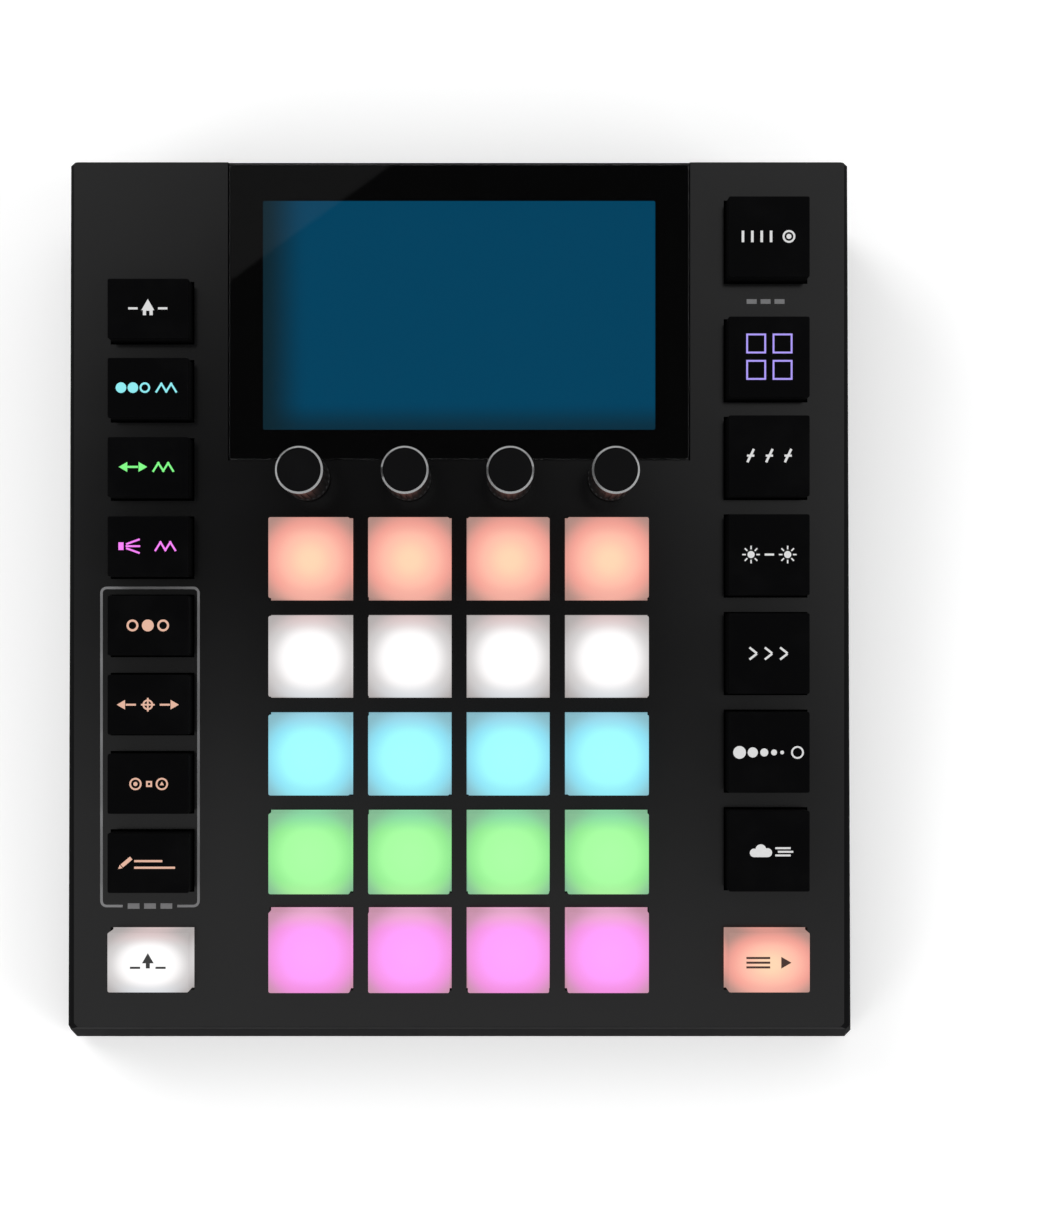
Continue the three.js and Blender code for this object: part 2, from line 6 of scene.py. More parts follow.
import bmesh
import bpy
from bpy.props import FloatProperty, FloatVectorProperty, IntProperty, PointerProperty
from mathutils import Matrix, Vector


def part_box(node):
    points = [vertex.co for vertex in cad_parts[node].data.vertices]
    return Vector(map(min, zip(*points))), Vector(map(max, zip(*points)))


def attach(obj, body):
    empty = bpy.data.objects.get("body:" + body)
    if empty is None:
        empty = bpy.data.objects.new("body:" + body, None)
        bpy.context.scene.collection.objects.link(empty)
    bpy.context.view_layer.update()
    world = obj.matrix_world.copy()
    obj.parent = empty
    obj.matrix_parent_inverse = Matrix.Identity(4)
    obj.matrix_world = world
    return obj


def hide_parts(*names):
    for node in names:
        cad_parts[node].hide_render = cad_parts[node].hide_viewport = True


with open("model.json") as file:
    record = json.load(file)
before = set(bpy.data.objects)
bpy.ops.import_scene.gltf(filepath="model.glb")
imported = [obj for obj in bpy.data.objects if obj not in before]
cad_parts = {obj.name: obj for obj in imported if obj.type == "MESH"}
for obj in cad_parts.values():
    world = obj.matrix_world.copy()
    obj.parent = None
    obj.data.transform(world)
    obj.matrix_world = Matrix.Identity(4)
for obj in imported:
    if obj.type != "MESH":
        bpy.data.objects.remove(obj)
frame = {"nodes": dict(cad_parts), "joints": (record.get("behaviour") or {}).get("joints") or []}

bl_info = {
    "name": "Lighting control desk",
    "version": (1, 0, 0),
    "blender": (4, 5, 0),
    "location": "3D View > Sidebar > Desk",
    "description": "Models and finishes the visible pieces of a lighting control desk",
    "category": "Object",
}

MM = 0.001


# ---- Places, read from the frame ------------------------------------------------------------------


def press_direction():
    """Which way the keys travel: straight into the tilted panel."""
    for joint in frame["joints"]:
        if joint["child"] == "key_home":
            return Vector(joint["axis"]).normalized()
    raise RuntimeError("the frame has no home key")


def panel_matrix():
    """The panel's own axes, with u to the right, v to the rear and w out of it, centred on its face."""
    across, out = Vector((1, 0, 0)), -press_direction()
    back = out.cross(across)
    corners = [v.co for v in frame["nodes"]["top_case"].data.vertices]
    level = max(c.dot(out) for c in corners)
    face = [c for c in corners if level - c.dot(out) < 0.01 * MM]

    def middle(axis):
        reach = [c.dot(axis) for c in face]
        return axis * (min(reach) + max(reach)) / 2

    origin = middle(across) + middle(back) + out * level
    rows = [(across[i], back[i], out[i], origin[i]) for i in range(3)]
    return Matrix([*rows, (0, 0, 0, 1)])


PANEL = panel_matrix()
TO_PANEL = PANEL.inverted()


def panel_box(node):
    """Lowest and highest corner of a CAD node in the panel's axes."""
    flat = [TO_PANEL @ v.co for v in frame["nodes"][node].data.vertices]
    return (Vector([min(p[i] for p in flat) for i in range(3)]),
            Vector([max(p[i] for p in flat) for i in range(3)]))


def on_panel(u, v, w=0.0):
    """A move to that place on the panel, turned with it."""
    return PANEL @ Matrix.Translation((u, v, w))


def seat_of(node, w=0.0):
    """The middle of a node's place on the panel."""
    low, high = panel_box(node)
    return on_panel((low.x + high.x) / 2, (low.y + high.y) / 2, w)


FLANGE_TOP = -2.8 * MM  # top of the caps' retaining flange, below the panel's face
FLANGE = 0.8 * MM
STEM_WIDTH = 6 * MM
LEFT_KEYS = ("home", "color_fx", "move_fx", "beam_fx", "color", "position", "gobo", "live_edit")
RIGHT_KEYS = ("tap", "groups", "strobe", "blinder", "speed", "blackout", "smoke")
BLACK_KEYS = tuple("key_" + name for name in LEFT_KEYS + RIGHT_KEYS)
LIGHTS = ("peach", "white", "cyan", "green", "pink")
LIT_CAPS = {"key_shift": "white", "key_preset": "peach",
            **{f"pad_r{r + 1}_c{c + 1}": LIGHTS[r] for r in range(5) for c in range(4)}}
ENCODERS = (1, 2, 3, 4)
SOCKETS = (1, 2, 3, 4)
FEET = ("front_left", "front_right", "rear_left", "rear_right")
WINDOW = Vector((93.6 * MM, 54.6 * MM))  # clear opening over the lit screen
PRINT_DEPTH = 0.03 * MM
CASE_SCREW_ROWS = (-92 * MM, -15 * MM, 62 * MM)
CASE_SCREW_REACH = 88.2 * MM  # from the middle of the desk to each row's two screws
SOCKET_DEPTH = 22 * MM  # how far a three-pole socket reaches into the case
SOCKET_PLATE = 1.6 * MM
SOCKET_SCREWS = (9.5 * MM, 12 * MM)  # from the socket's axis


# ---- Settings -------------------------------------------------------------------------------------


def length(name, text, value):
    return FloatProperty(name=name, description=text, default=value, min=0, unit="LENGTH")


def colour(name, text, value):
    return FloatVectorProperty(name=name, description=text, default=value, min=0, max=4,
                               size=3, subtype="COLOR")


class DeskSizes(bpy.types.PropertyGroup):
    """Small dimensions that the frame leaves open."""

    case_edge: length("Case edge", "Rounding along the moulded case's edges", 0.25 * MM)
    sheet_edge: length("Sheet edge", "Rounding along the steel tray's edges", 0.15 * MM)
    cap_corner: length("Cap corner", "Radius of a cap's four upright corners", 0.45 * MM)
    cap_crown: length("Cap crown", "Rounding round the top of a cap", 0.28 * MM)
    legend_depth: length("Legend depth", "Thickness of the inked pictograms", 0.03 * MM)
    outline_width: length("Outline width", "Width of the printed line round the four static keys", 0.6 * MM)
    knob_chamfer: length("Knob chamfer", "Bright cut edge round the top of a knob", 0.45 * MM)
    knob_flute: length("Flute depth", "Depth of the grip flutes round a knob", 0.22 * MM)
    screw_head: length("Screw head", "Radius of the screw heads", 2.8 * MM)


class DeskColours(bpy.types.PropertyGroup):
    """Colours of the finishes."""

    charcoal: colour("Charcoal", "Moulded case", (0.0028, 0.0028, 0.003))
    powder: colour("Powder coat", "Steel tray", (0.009, 0.009, 0.0095))
    key_black: colour("Key black", "Unlit caps", (0.002, 0.002, 0.0022))
    knob_black: colour("Knob black", "Body of the knobs", (0.0035, 0.0035, 0.0038))
    chamfer: colour("Bright cut", "Cut edge of the knobs", (0.46, 0.465, 0.47))
    screen: colour("Screen", "Blank lit display", (0.0, 0.0585, 0.126))
    screen_shade: colour("Screen shade", "Display towards its left and front edges", (0.0036, 0.02, 0.031))
    board: colour("Board", "Solder resist of the circuit boards", (0.008, 0.07, 0.03))
    gold: colour("Gold", "Socket contacts", (0.83, 0.55, 0.2))


class StageSettings(bpy.types.PropertyGroup):
    """Where the desk is seen from, how large the floor is, and how round the turned pieces are."""

    eye_height: length("Eye height", "Distance of the camera from the panel", 350 * MM)
    eye_u: FloatProperty(name="Eye to the right", description="Camera's place across the panel",
                         default=7.87 * MM, unit="LENGTH")
    eye_v: FloatProperty(name="Eye to the rear", description="Camera's place along the panel",
                         default=-15.59 * MM, unit="LENGTH")
    lens: FloatProperty(name="Lens", description="Focal length in millimetres", default=43.4)
    shift_x: FloatProperty(name="Shift across", description="Sideways shift of the lens", default=0.027)
    shift_y: FloatProperty(name="Shift up", description="Upward shift of the lens", default=0.0414)
    floor_reach: length("Floor reach", "Half the width of the floor", 30.0)
    segments: IntProperty(name="Roundness", description="Sides of the turned pieces", default=64, min=16)


PROPERTY_GROUPS = {"desk_sizes": DeskSizes, "desk_colours": DeskColours, "desk_stage": StageSettings}


# ---- Modelling helpers ----------------------------------------------------------------------------


def only(piece):
    """Makes this piece the only one selected, and active."""
    bpy.ops.object.select_all(action="DESELECT")
    piece.select_set(True)
    bpy.context.view_layer.objects.active = piece
    return piece


def start(name, add, **values):
    """A primitive to be shaped, with its object at the origin."""
    bpy.ops.object.select_all(action="DESELECT")
    add(**values)
    bpy.ops.object.transform_apply(location=True, rotation=True, scale=True)
    piece = bpy.context.object
    piece.name = piece.data.name = name
    return piece


def start_box(name, size, centre=(0, 0, 0)):
    return start(name, bpy.ops.mesh.primitive_cube_add, size=1, location=centre, scale=size)


def start_drum(name, radius, low, high, sides, centre=(0, 0)):
    """A drum that stands on Z between two levels."""
    return start(name, bpy.ops.mesh.primitive_cylinder_add, vertices=sides, radius=radius,
                 depth=high - low, location=(*centre, (low + high) / 2))


def start_sheet(name, width):
    return start(name, bpy.ops.mesh.primitive_plane_add, size=width)


@contextlib.contextmanager
def editing(piece):
    """Edit mode on this piece, with nothing selected at first."""
    only(piece)
    bpy.ops.object.mode_set(mode="EDIT")
    bpy.ops.mesh.select_all(action="DESELECT")
    yield
    bpy.ops.object.mode_set(mode="OBJECT")


def pick(piece, kind, test):
    """Selects the faces or edges that pass: a face by its centre and normal, an edge by its ends."""
    bpy.ops.mesh.select_mode(type="FACE" if kind == "faces" else "EDGE")
    bpy.ops.mesh.select_all(action="DESELECT")
    shape = bmesh.from_edit_mesh(piece.data)
    if kind == "faces":
        chosen = [f for f in shape.faces if test(f.calc_center_median(), f.normal)]
    else:
        chosen = [e for e in shape.edges if test(e.verts[0].co, e.verts[1].co)]
    if not chosen:
        raise RuntimeError(f"{piece.name}: found no {kind} to shape")
    for item in chosen:
        item.select_set(True)
    bmesh.update_edit_mesh(piece.data)


def pick_up(piece, level):
    """Selects the faces that look up at that level."""
    pick(piece, "faces", lambda c, n: abs(c.z - level) < 1e-6 and n.z > 0.9)


def pick_down(piece, level):
    pick(piece, "faces", lambda c, n: abs(c.z - level) < 1e-6 and n.z < -0.9)


def pick_rim(piece, level):
    """Selects the edges that lie at that level."""
    pick(piece, "edges", lambda a, b: abs(a.z - level) < 1e-6 and abs(b.z - level) < 1e-6)


def pick_uprights(piece):
    pick(piece, "edges", lambda a, b: abs(a.x - b.x) < 1e-7 and abs(a.y - b.y) < 1e-7)


def pick_all():
    bpy.ops.mesh.select_all(action="SELECT")


def push(z, y=0.0):
    """Extrudes the selected faces along Z, or along Y and Z."""
    bpy.ops.mesh.extrude_region_move(TRANSFORM_OT_translate={"value": (0, y, z)})


def inset(width):
    bpy.ops.mesh.inset(thickness=width)


def flare(x, y, level):
    """Extrudes the selected faces in place and scales the copy, which makes a step."""
    push(0)
    bpy.ops.transform.resize(value=(x, y, 1), center_override=(0, 0, level))


def round_edges(width, segments=2):
    bpy.ops.mesh.bevel(offset=width, segments=segments, affect="EDGES")


def soften(block, corner, steps, top=None, edge=0.0, edge_steps=2):
    """Rounds a block's four upright corners and, where its level is given, the rim of its top."""
    with editing(block):
        pick_uprights(block)
        round_edges(corner, steps)
        if top is not None:
            pick_rim(block, top)
            round_edges(edge, edge_steps)


def place(piece, matrix):
    """Moves a finished shape to its place, and leaves its object at the origin."""
    only(piece)
    piece.matrix_world = matrix
    bpy.ops.object.transform_apply(location=True, rotation=True, scale=True)
    return piece


def copy_to(model, name, matrix):
    """A copy of a modelled piece, with its own mesh, at another place."""
    piece = model.copy()
    piece.data = model.data.copy()
    piece.name = piece.data.name = name
    bpy.context.scene.collection.objects.link(piece)
    return place(piece, matrix)


def discard(*models):
    for model in models:
        bpy.data.meshes.remove(model.data)


def apply_modifier(piece, kind, **values):
    only(piece)
    modifier = piece.modifiers.new(kind.title(), kind)
    for key, value in values.items():
        setattr(modifier, key, value)
    bpy.ops.object.modifier_apply(modifier=modifier.name)


def cut_with(piece, *tools):
    """Takes the tools' shapes out of the piece."""
    for tool in tools:
        apply_modifier(piece, "BOOLEAN", object=tool, operation="DIFFERENCE", solver="EXACT")
    discard(*tools)


def weld(piece, *others):
    """Makes one body of the piece and the others."""
    for other in others:
        apply_modifier(piece, "BOOLEAN", object=other, operation="UNION", solver="EXACT")
    discard(*others)


def join(first, *others):
    only(first)
    for other in others:
        other.select_set(True)
    bpy.ops.object.join()
    return first


def smooth(piece, degrees=32):
    only(piece)
    bpy.ops.object.shade_smooth_by_angle(angle=math.radians(degrees))


def even_normals(piece):
    """Keeps large flat faces flat beside their rounded edges."""
    smooth(piece, 40)
    apply_modifier(piece, "WEIGHTED_NORMAL", mode="FACE_AREA", weight=50, keep_sharp=True)


def rounded_copy(node, name, width, degrees=30):
    """A CAD node's shape as one clean mesh, its flat faces whole and its sharper edges rounded."""
    piece = bpy.data.objects.new(name, frame["nodes"][node].data.copy())
    piece.data.name = name
    piece.data.materials.clear()
    bpy.context.scene.collection.objects.link(piece)
    with editing(piece):
        pick_all()
        bpy.ops.mesh.customdata_custom_splitnormals_clear()
        bpy.ops.mesh.remove_doubles(threshold=1e-6)
        bpy.ops.mesh.dissolve_limited(angle_limit=math.radians(0.4))
    apply_modifier(piece, "BEVEL", width=width, segments=2, limit_method="ANGLE",
                   angle_limit=math.radians(degrees), use_clamp_overlap=True)
    even_normals(piece)
    return piece


def plan_map(piece, low, high):
    """The piece's own map: 0 to 1 across it and along it."""
    layer = piece.data.uv_layers.active or piece.data.uv_layers.new(name="Plan")
    layer.name = "Plan"
    for loop in piece.data.loops:
        corner = piece.data.vertices[loop.vertex_index].co
        layer.data[loop.index].uv = ((corner.x - low[0]) / (high[0] - low[0]),
                                     (corner.y - low[1]) / (high[1] - low[1]))


def fit(piece, body, slot, *finishes, stands_for=()):
    """Gives a finished piece its materials and its body, and hides the CAD nodes it stands for."""
    piece.data.materials.clear()
    for finish in finishes:
        piece.data.materials.append(finish)
    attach(piece, body)
    if stands_for:
        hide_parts(*stands_for)
    return piece


def refinish(node, finish):
    """A new finish on a CAD node that keeps its shape."""
    frame["nodes"][node].material_slots[0].material = finish


# ---- Shader groups --------------------------------------------------------------------------------


GROUPS = {}


class Wiring:
    """Adds nodes to a tree and joins them, left to right."""

    def __init__(self, tree):
        self.tree = tree
        self.column = 0

    def add(self, kind, inputs=(), **settings):
        node = self.tree.nodes.new(kind)
        self.column += 1
        node.location = (180 * self.column, -60 * (self.column % 5))
        for key, value in settings.items():
            setattr(node, key, value)
        for key, value in dict(inputs).items():
            self.feed(node.inputs[key], value)
        return node

    def feed(self, socket, value):
        if isinstance(value, bpy.types.NodeSocket):
            self.tree.links.new(value, socket)
        else:
            socket.default_value = value

    def maths(self, operation, a, b=0.0):
        return self.add("ShaderNodeMath", {0: a, 1: b}, operation=operation).outputs[0]

    def plus(self, a, b):
        return self.maths("ADD", a, b)

    def minus(self, a, b):
        return self.maths("SUBTRACT", a, b)

    def times(self, a, b):
        return self.maths("MULTIPLY", a, b)

    def over(self, a, b):
        return self.maths("DIVIDE", a, b)

    def reach(self, x, y):
        """How far a point lies from the origin."""
        return self.maths("SQRT", self.plus(self.times(x, x), self.times(y, y)))

    def range(self, value, low, high, to_low=0.0, to_high=1.0, shape="SMOOTHSTEP"):
        inputs = {"Value": value, "From Min": low, "From Max": high, "To Min": to_low, "To Max": to_high}
        return self.add("ShaderNodeMapRange", inputs, interpolation_type=shape).outputs["Result"]

    def mix(self, share, a, b):
        node = self.add("ShaderNodeMix", data_type="RGBA")
        for socket, value in ((node.inputs[0], share), (node.inputs[6], a), (node.inputs[7], b)):
            self.feed(socket, value)
        return node.outputs[2]

    def noise(self, vector, scale, detail=2.0, roughness=0.5):
        inputs = {"Vector": vector, "Scale": scale, "Detail": detail, "Roughness": roughness}
        return self.add("ShaderNodeTexNoise", inputs).outputs["Fac"]

    def position(self):
        return self.add("ShaderNodeTexCoord").outputs["Object"]

    def on_map(self):
        return self.add("ShaderNodeUVMap", uv_map="Plan").outputs[0]

    def split(self, vector):
        return self.add("ShaderNodeSeparateXYZ", {0: vector}).outputs

    def bump(self, height, strength, depth):
        inputs = {"Height": height, "Strength": strength, "Distance": depth * MM}
        return self.add("ShaderNodeBump", inputs).outputs[0]

    def group(self, maker, inputs):
        """A shader group with these inputs. Each group is built the first time it is asked for."""
        if maker not in GROUPS:
            GROUPS[maker] = maker()
        return self.add("ShaderNodeGroup", inputs, node_tree=GROUPS[maker]).outputs


def rgba(value):
    return (*value, 1.0)


def new_group(name, inputs, outputs):
    """An empty shader group with named sockets."""
    group = bpy.data.node_groups.new(name, "ShaderNodeTree")
    for title, (kind, default) in inputs.items():
        socket = group.interface.new_socket(name=title, in_out="INPUT", socket_type="NodeSocket" + kind)
        if default is not None:
            socket.default_value = default
    for title, kind in outputs.items():
        group.interface.new_socket(name=title, in_out="OUTPUT", socket_type="NodeSocket" + kind)
    wiring = Wiring(group)
    return group, wiring, wiring.add("NodeGroupInput").outputs, wiring.add("NodeGroupOutput").inputs


def surface_group():
    """Grain, uneven gloss and a faint film from handling, for any solid finish."""
    inputs = {"Position": ("Vector", None), "Colour": ("Color", (0.5, 0.5, 0.5, 1)),
              "Film": ("Color", (0.5, 0.5, 0.5, 1)), "Film amount": ("Float", 0.2),
              "Grain": ("Float", 2000.0), "Gloss patches": ("Float", 60.0),
              "Roughness": ("Float", 0.4), "Unevenness": ("Float", 0.08)}
    outputs = {"Colour": "Color", "Roughness": "Float", "Height": "Float"}
    group, w, given, out = new_group("Moulded surface", inputs, outputs)
    grain = w.noise(given["Position"], given["Grain"], 3.0, 0.6)
    patches = w.noise(given["Position"], given["Gloss patches"], 4.0, 0.55)
    film = w.times(w.range(patches, 0.42, 0.72), given["Film amount"])
    w.feed(out["Colour"], w.mix(film, given["Colour"], given["Film"]))
    swing = w.times(w.minus(patches, 0.5), given["Unevenness"])
    w.feed(out["Roughness"], w.plus(given["Roughness"], swing))
    w.feed(out["Height"], grain)
    return group


CAP_ZONES = ("Centre", "Middle", "Rim", "Corner", "Rear tint", "Front tint")
LAMP_SPOT = (0.515, 0.47)  # of a cap's width and depth


def backlit_group():
    """Light that a lamp spreads over a frosted cap, tinted by the neighbours in front and behind."""
    inputs = {"Plan": ("Vector", None), **{title: ("Color", (1, 1, 1, 1)) for title in CAP_ZONES}}
    group, w, given, out = new_group("Backlit cap", inputs, {"Colour": "Color"})
    plan = w.split(given["Plan"])
    x, y = (w.times(w.minus(plan[i], LAMP_SPOT[i]), 2) for i in range(2))
    reach = w.reach(x, y)
    shade = w.mix(w.range(reach, 0.1, 0.75), given["Centre"], given["Middle"])
    shade = w.mix(w.range(reach, 0.6, 1.0), shade, given["Rim"])
    shade = w.mix(w.range(y, 0.55, 1.15, 0.0, 0.8), shade, given["Rear tint"])
    shade = w.mix(w.range(y, -0.5, -1.1, 0.0, 0.8), shade, given["Front tint"])
    shade = w.mix(w.range(reach, 0.88, 1.38), shade, given["Corner"])
    w.feed(out["Colour"], shade)
    return group


def traces_group():
    """Copper tracks under the solder resist of a circuit board."""
    inputs = {"Position": ("Vector", None), "Resist": ("Color", (0, 0.1, 0.05, 1)),
              "Track": ("Color", (0, 0.2, 0.1, 1)), "Pitch": ("Float", 300.0)}
    outputs = {"Colour": "Color", "Height": "Float"}
    group, w, given, out = new_group("Board tracks", inputs, outputs)
    brick = w.add("ShaderNodeTexBrick", {"Vector": given["Position"], "Scale": given["Pitch"],
                                         "Mortar Size": 0.06, "Brick Width": 1.7, "Row Height": 0.35})
    w.feed(out["Colour"], w.mix(brick.outputs["Fac"], given["Resist"], given["Track"]))
    w.feed(out["Height"], brick.outputs["Fac"])
    return group


# ---- Materials ------------------------------------------------------------------------------------


def blank_material(name, values):
    """A material with only its surface shader, on which these values are set."""
    material = bpy.data.materials.new(name)
    material.use_nodes = True
    material.node_tree.nodes.clear()
    w = Wiring(material.node_tree)
    shader = w.add("ShaderNodeBsdfPrincipled")
    output = w.add("ShaderNodeOutputMaterial", {"Surface": shader.outputs[0]})
    shader.location, output.location = (900, 0), (1200, 0)
    for title, value in values.items():
        shader.inputs[title].default_value = value
    return material, w, shader.inputs


def grained(w, shader, base, film, bump, depth, values):
    """Feeds a shader with the shared surface: its colour, its gloss and its fine relief."""
    surface = w.group(surface_group, {"Position": w.position(), "Colour": rgba(base), "Film": rgba(film),
                                      **values})
    w.feed(shader["Base Color"], surface["Colour"])
    w.feed(shader["Roughness"], surface["Roughness"])
    w.feed(shader["Normal"], w.bump(surface["Height"], bump, depth))


MATERIALS = {}


def solid(name, base, roughness, metallic=0.0, film=None, film_amount=0.25, grain=2500.0, patches=60.0,
          uneven=0.1, depth=0.02, bump=0.15, glow=None, sheen=0.5):
    """An opaque finish with its grain and handling film: plastic, paint, rubber or metal."""
    if name in MATERIALS:
        return MATERIALS[name]
    material, w, shader = blank_material(name, {"Metallic": metallic, "Specular IOR Level": sheen})
    film = film or tuple(min(1.0, 1.25 * c + 0.0015) for c in base)
    grained(w, shader, base, film, bump, depth, {
        "Film amount": film_amount, "Grain": grain, "Gloss patches": patches, "Roughness": roughness,
        "Unevenness": uneven})
    if glow:
        shader["Emission Color"].default_value = rgba(glow)
        shader["Emission Strength"].default_value = 1.0
    MATERIALS[name] = material
    return material


CAP_LIGHT = {  # one colour for each of the cap's zones
    "peach": ((1.0, 0.68, 0.45), (1.0, 0.50, 0.39), (0.90, 0.36, 0.30), (0.40, 0.24, 0.21),
              (0.80, 0.32, 0.27), (0.86, 0.44, 0.36)),
    "white": ((1.05, 1.05, 1.05), (1.0, 0.98, 0.98), (0.65, 0.63, 0.63), (0.41, 0.38, 0.375),
              (0.75, 0.53, 0.53), (0.69, 0.74, 0.79)),
    "cyan": ((0.36, 1.0, 1.0), (0.35, 0.98, 1.0), (0.27, 0.76, 0.93), (0.23, 0.45, 0.53),
             (0.34, 0.64, 0.78), (0.29, 0.82, 0.90)),
    "green": ((0.40, 1.0, 0.37), (0.38, 0.98, 0.35), (0.29, 0.82, 0.28), (0.22, 0.46, 0.28),
              (0.24, 0.68, 0.42), (0.45, 0.88, 0.36)),
    "pink": ((1.0, 0.36, 1.0), (0.99, 0.34, 0.98), (0.90, 0.29, 0.76), (0.55, 0.28, 0.38),
             (0.86, 0.47, 0.62), (0.85, 0.25, 0.69)),
}


def frosted_cap(light):
    """Frosted polycarbonate lit from below in one of the five colours."""
    name = f"frosted_cap_{light}"
    if name in MATERIALS:
        return MATERIALS[name]
    material, w, shader = blank_material(name, {"Emission Strength": 0.97, "Specular IOR Level": 0.25})
    zones = {title: rgba(value) for title, value in zip(CAP_ZONES, CAP_LIGHT[light])}
    lamp = w.group(backlit_group, {"Plan": w.on_map(), **zones})
    w.feed(shader["Emission Color"], lamp["Colour"])
    middle = CAP_LIGHT[light][1]
    grained(w, shader, [0.05 * c for c in middle], [0.07 * c for c in middle], 0.1, 0.01, {
        "Film amount": 0.4, "Grain": 3500.0, "Gloss patches": 120.0, "Roughness": 0.42, "Unevenness": 0.1})
    MATERIALS[name] = material
    return material


def lit_screen(colours):
    """A blank lit display that dims towards its left and front edges."""
    material, w, shader = blank_material("lit_screen", {
        "Base Color": (0.001, 0.001, 0.0012, 1), "Roughness": 0.35, "Specular IOR Level": 0.02,
        "Emission Strength": 1.0})
    plan = w.split(w.on_map())
    side, front = w.range(plan[0], 0.0, 0.12), w.range(plan[1], 0.0, 0.13)
    cell = w.add("ShaderNodeTexChecker", {"Vector": w.position(), "Scale": 9000.0}).outputs["Fac"]
    lit = w.times(side, w.plus(w.times(front, 0.75), 0.25))
    lit = w.times(lit, w.range(cell, 0, 1, 0.97, 1.0, "LINEAR"))
    w.feed(shader["Emission Color"], w.mix(lit, rgba(colours.screen_shade), rgba(colours.screen)))
    return material


def clear_glass():
    """Polished cover glass."""
    material, w, shader = blank_material("cover_glass", {
        "Roughness": 0.0, "Transmission Weight": 1.0, "IOR": 1.5})
    surface = w.group(surface_group, {"Position": w.position(), "Colour": (1, 1, 1, 1),
                                      "Film": (0.97, 0.98, 0.98, 1), "Film amount": 0.3,
                                      "Gloss patches": 45.0})
    w.feed(shader["Base Color"], surface["Colour"])
    return material


def circuit_board(colours):
    """Green board with its tracks showing through the solder resist."""
    if "circuit_board" in MATERIALS:
        return MATERIALS["circuit_board"]
    material, w, shader = blank_material("circuit_board", {"Roughness": 0.35})
    resist = colours.board
    tracks = w.group(traces_group, {"Position": w.position(), "Resist": rgba(resist),
                                    "Track": rgba([1.8 * c for c in resist]), "Pitch": 260.0})
    w.feed(shader["Base Color"], tracks["Colour"])
    w.feed(shader["Normal"], w.bump(tracks["Height"], 0.3, 0.03))
    MATERIALS["circuit_board"] = material
    return material


def satin_charcoal(c):
    return solid("satin_charcoal", c.charcoal, 0.2, film_amount=0.3, grain=3000, patches=28,
                 uneven=0.03, depth=0.01, bump=0.05, sheen=0.4)


# The bevel and the walls are lighter copies of the charcoal. Their raised base colour is painted light,
# standing in for the light their sloping faces catch. Their grain and gloss are the moulding's own.
def bevel_charcoal_painted_light(c):
    return solid("bevel_charcoal_painted_light", [1.3 * v for v in c.charcoal], 0.4, film_amount=0.3, grain=2400,
                 patches=40, uneven=0.05, depth=0.02, bump=0.15, sheen=0.015)


def textured_charcoal_painted_light(c):
    return solid("textured_charcoal_painted_light", [1.7 * v for v in c.charcoal], 0.6, film_amount=0.4, grain=1800,
                 patches=40, uneven=0.08, depth=0.04, bump=0.35, sheen=0.007)


def powder_coat(c):
    return solid("powder_coat", c.powder, 0.5, film_amount=0.3, grain=1400, patches=30, uneven=0.12,
                 depth=0.06, bump=0.4)


def black_cap(c):
    return solid("black_cap", c.key_black, 0.3, film_amount=0.5, grain=4000, patches=70, uneven=0.06,
                 depth=0.01, bump=0.08, sheen=0.02)


def knob_black(c):
    return solid("soft_touch_black", c.knob_black, 0.34, film_amount=0.3, grain=3500, patches=90,
                 uneven=0.08, depth=0.01, bump=0.15)


def knob_top(c):
    return solid("knob_top_black", c.knob_black, 0.32, film_amount=0.3, grain=3500, patches=90,
                 uneven=0.06, depth=0.01, bump=0.1, sheen=0.08)


def bright_cut(c):
    return solid("bright_cut_metal", c.chamfer, 0.22, metallic=1.0, film_amount=0.15, grain=1800,
                 patches=200, uneven=0.08, depth=0.01, bump=0.1)


def steel():
    return solid("turned_steel", (0.55, 0.56, 0.57), 0.28, metallic=1.0, grain=1500, uneven=0.12)


def plated():
    return solid("plated_steel", (0.42, 0.42, 0.43), 0.33, metallic=1.0, grain=1200, uneven=0.15)


def black_nickel():
    return solid("black_nickel", (0.035, 0.036, 0.038), 0.3, metallic=0.85, film_amount=0.3,
                 grain=900, patches=110, uneven=0.15, depth=0.03, bump=0.2)


def gold(c):
    return solid("gold_plating", c.gold, 0.22, metallic=1.0, grain=2000, uneven=0.1)


def dark_plastic():
    return solid("connector_plastic", (0.008, 0.008, 0.009), 0.45, film_amount=0.3, grain=1800)


def rubber():
    return solid("foot_rubber", (0.008, 0.008, 0.009), 0.8, film=(0.03, 0.03, 0.03), film_amount=0.45,
                 grain=1200, patches=220, uneven=0.1, depth=0.05, bump=0.5)


def border_ink():
    return solid("glass_border_black", (0.001, 0.001, 0.0011), 0.5, film_amount=0.1, sheen=0.0)


def silicone():
    return solid("key_mat_silicone", (0.62, 0.62, 0.6), 0.6, film_amount=0.2, grain=900, uneven=0.1)


# ---- Operators ------------------------------------------------------------------------------------


class Maker:
    """What every operator here shares."""

    bl_options = {"REGISTER", "UNDO"}

    def execute(self, context):
        scene = context.scene
        self.sizes, self.colours, self.stage = scene.desk_sizes, scene.desk_colours, scene.desk_stage
        self.make()
        return {"FINISHED"}


PANEL_TILT = 0.98  # cosine of a case face's angle to the panel: above this it counts as panel
BEVEL_TILT = 0.5  # above this it counts as the bevel round the panel


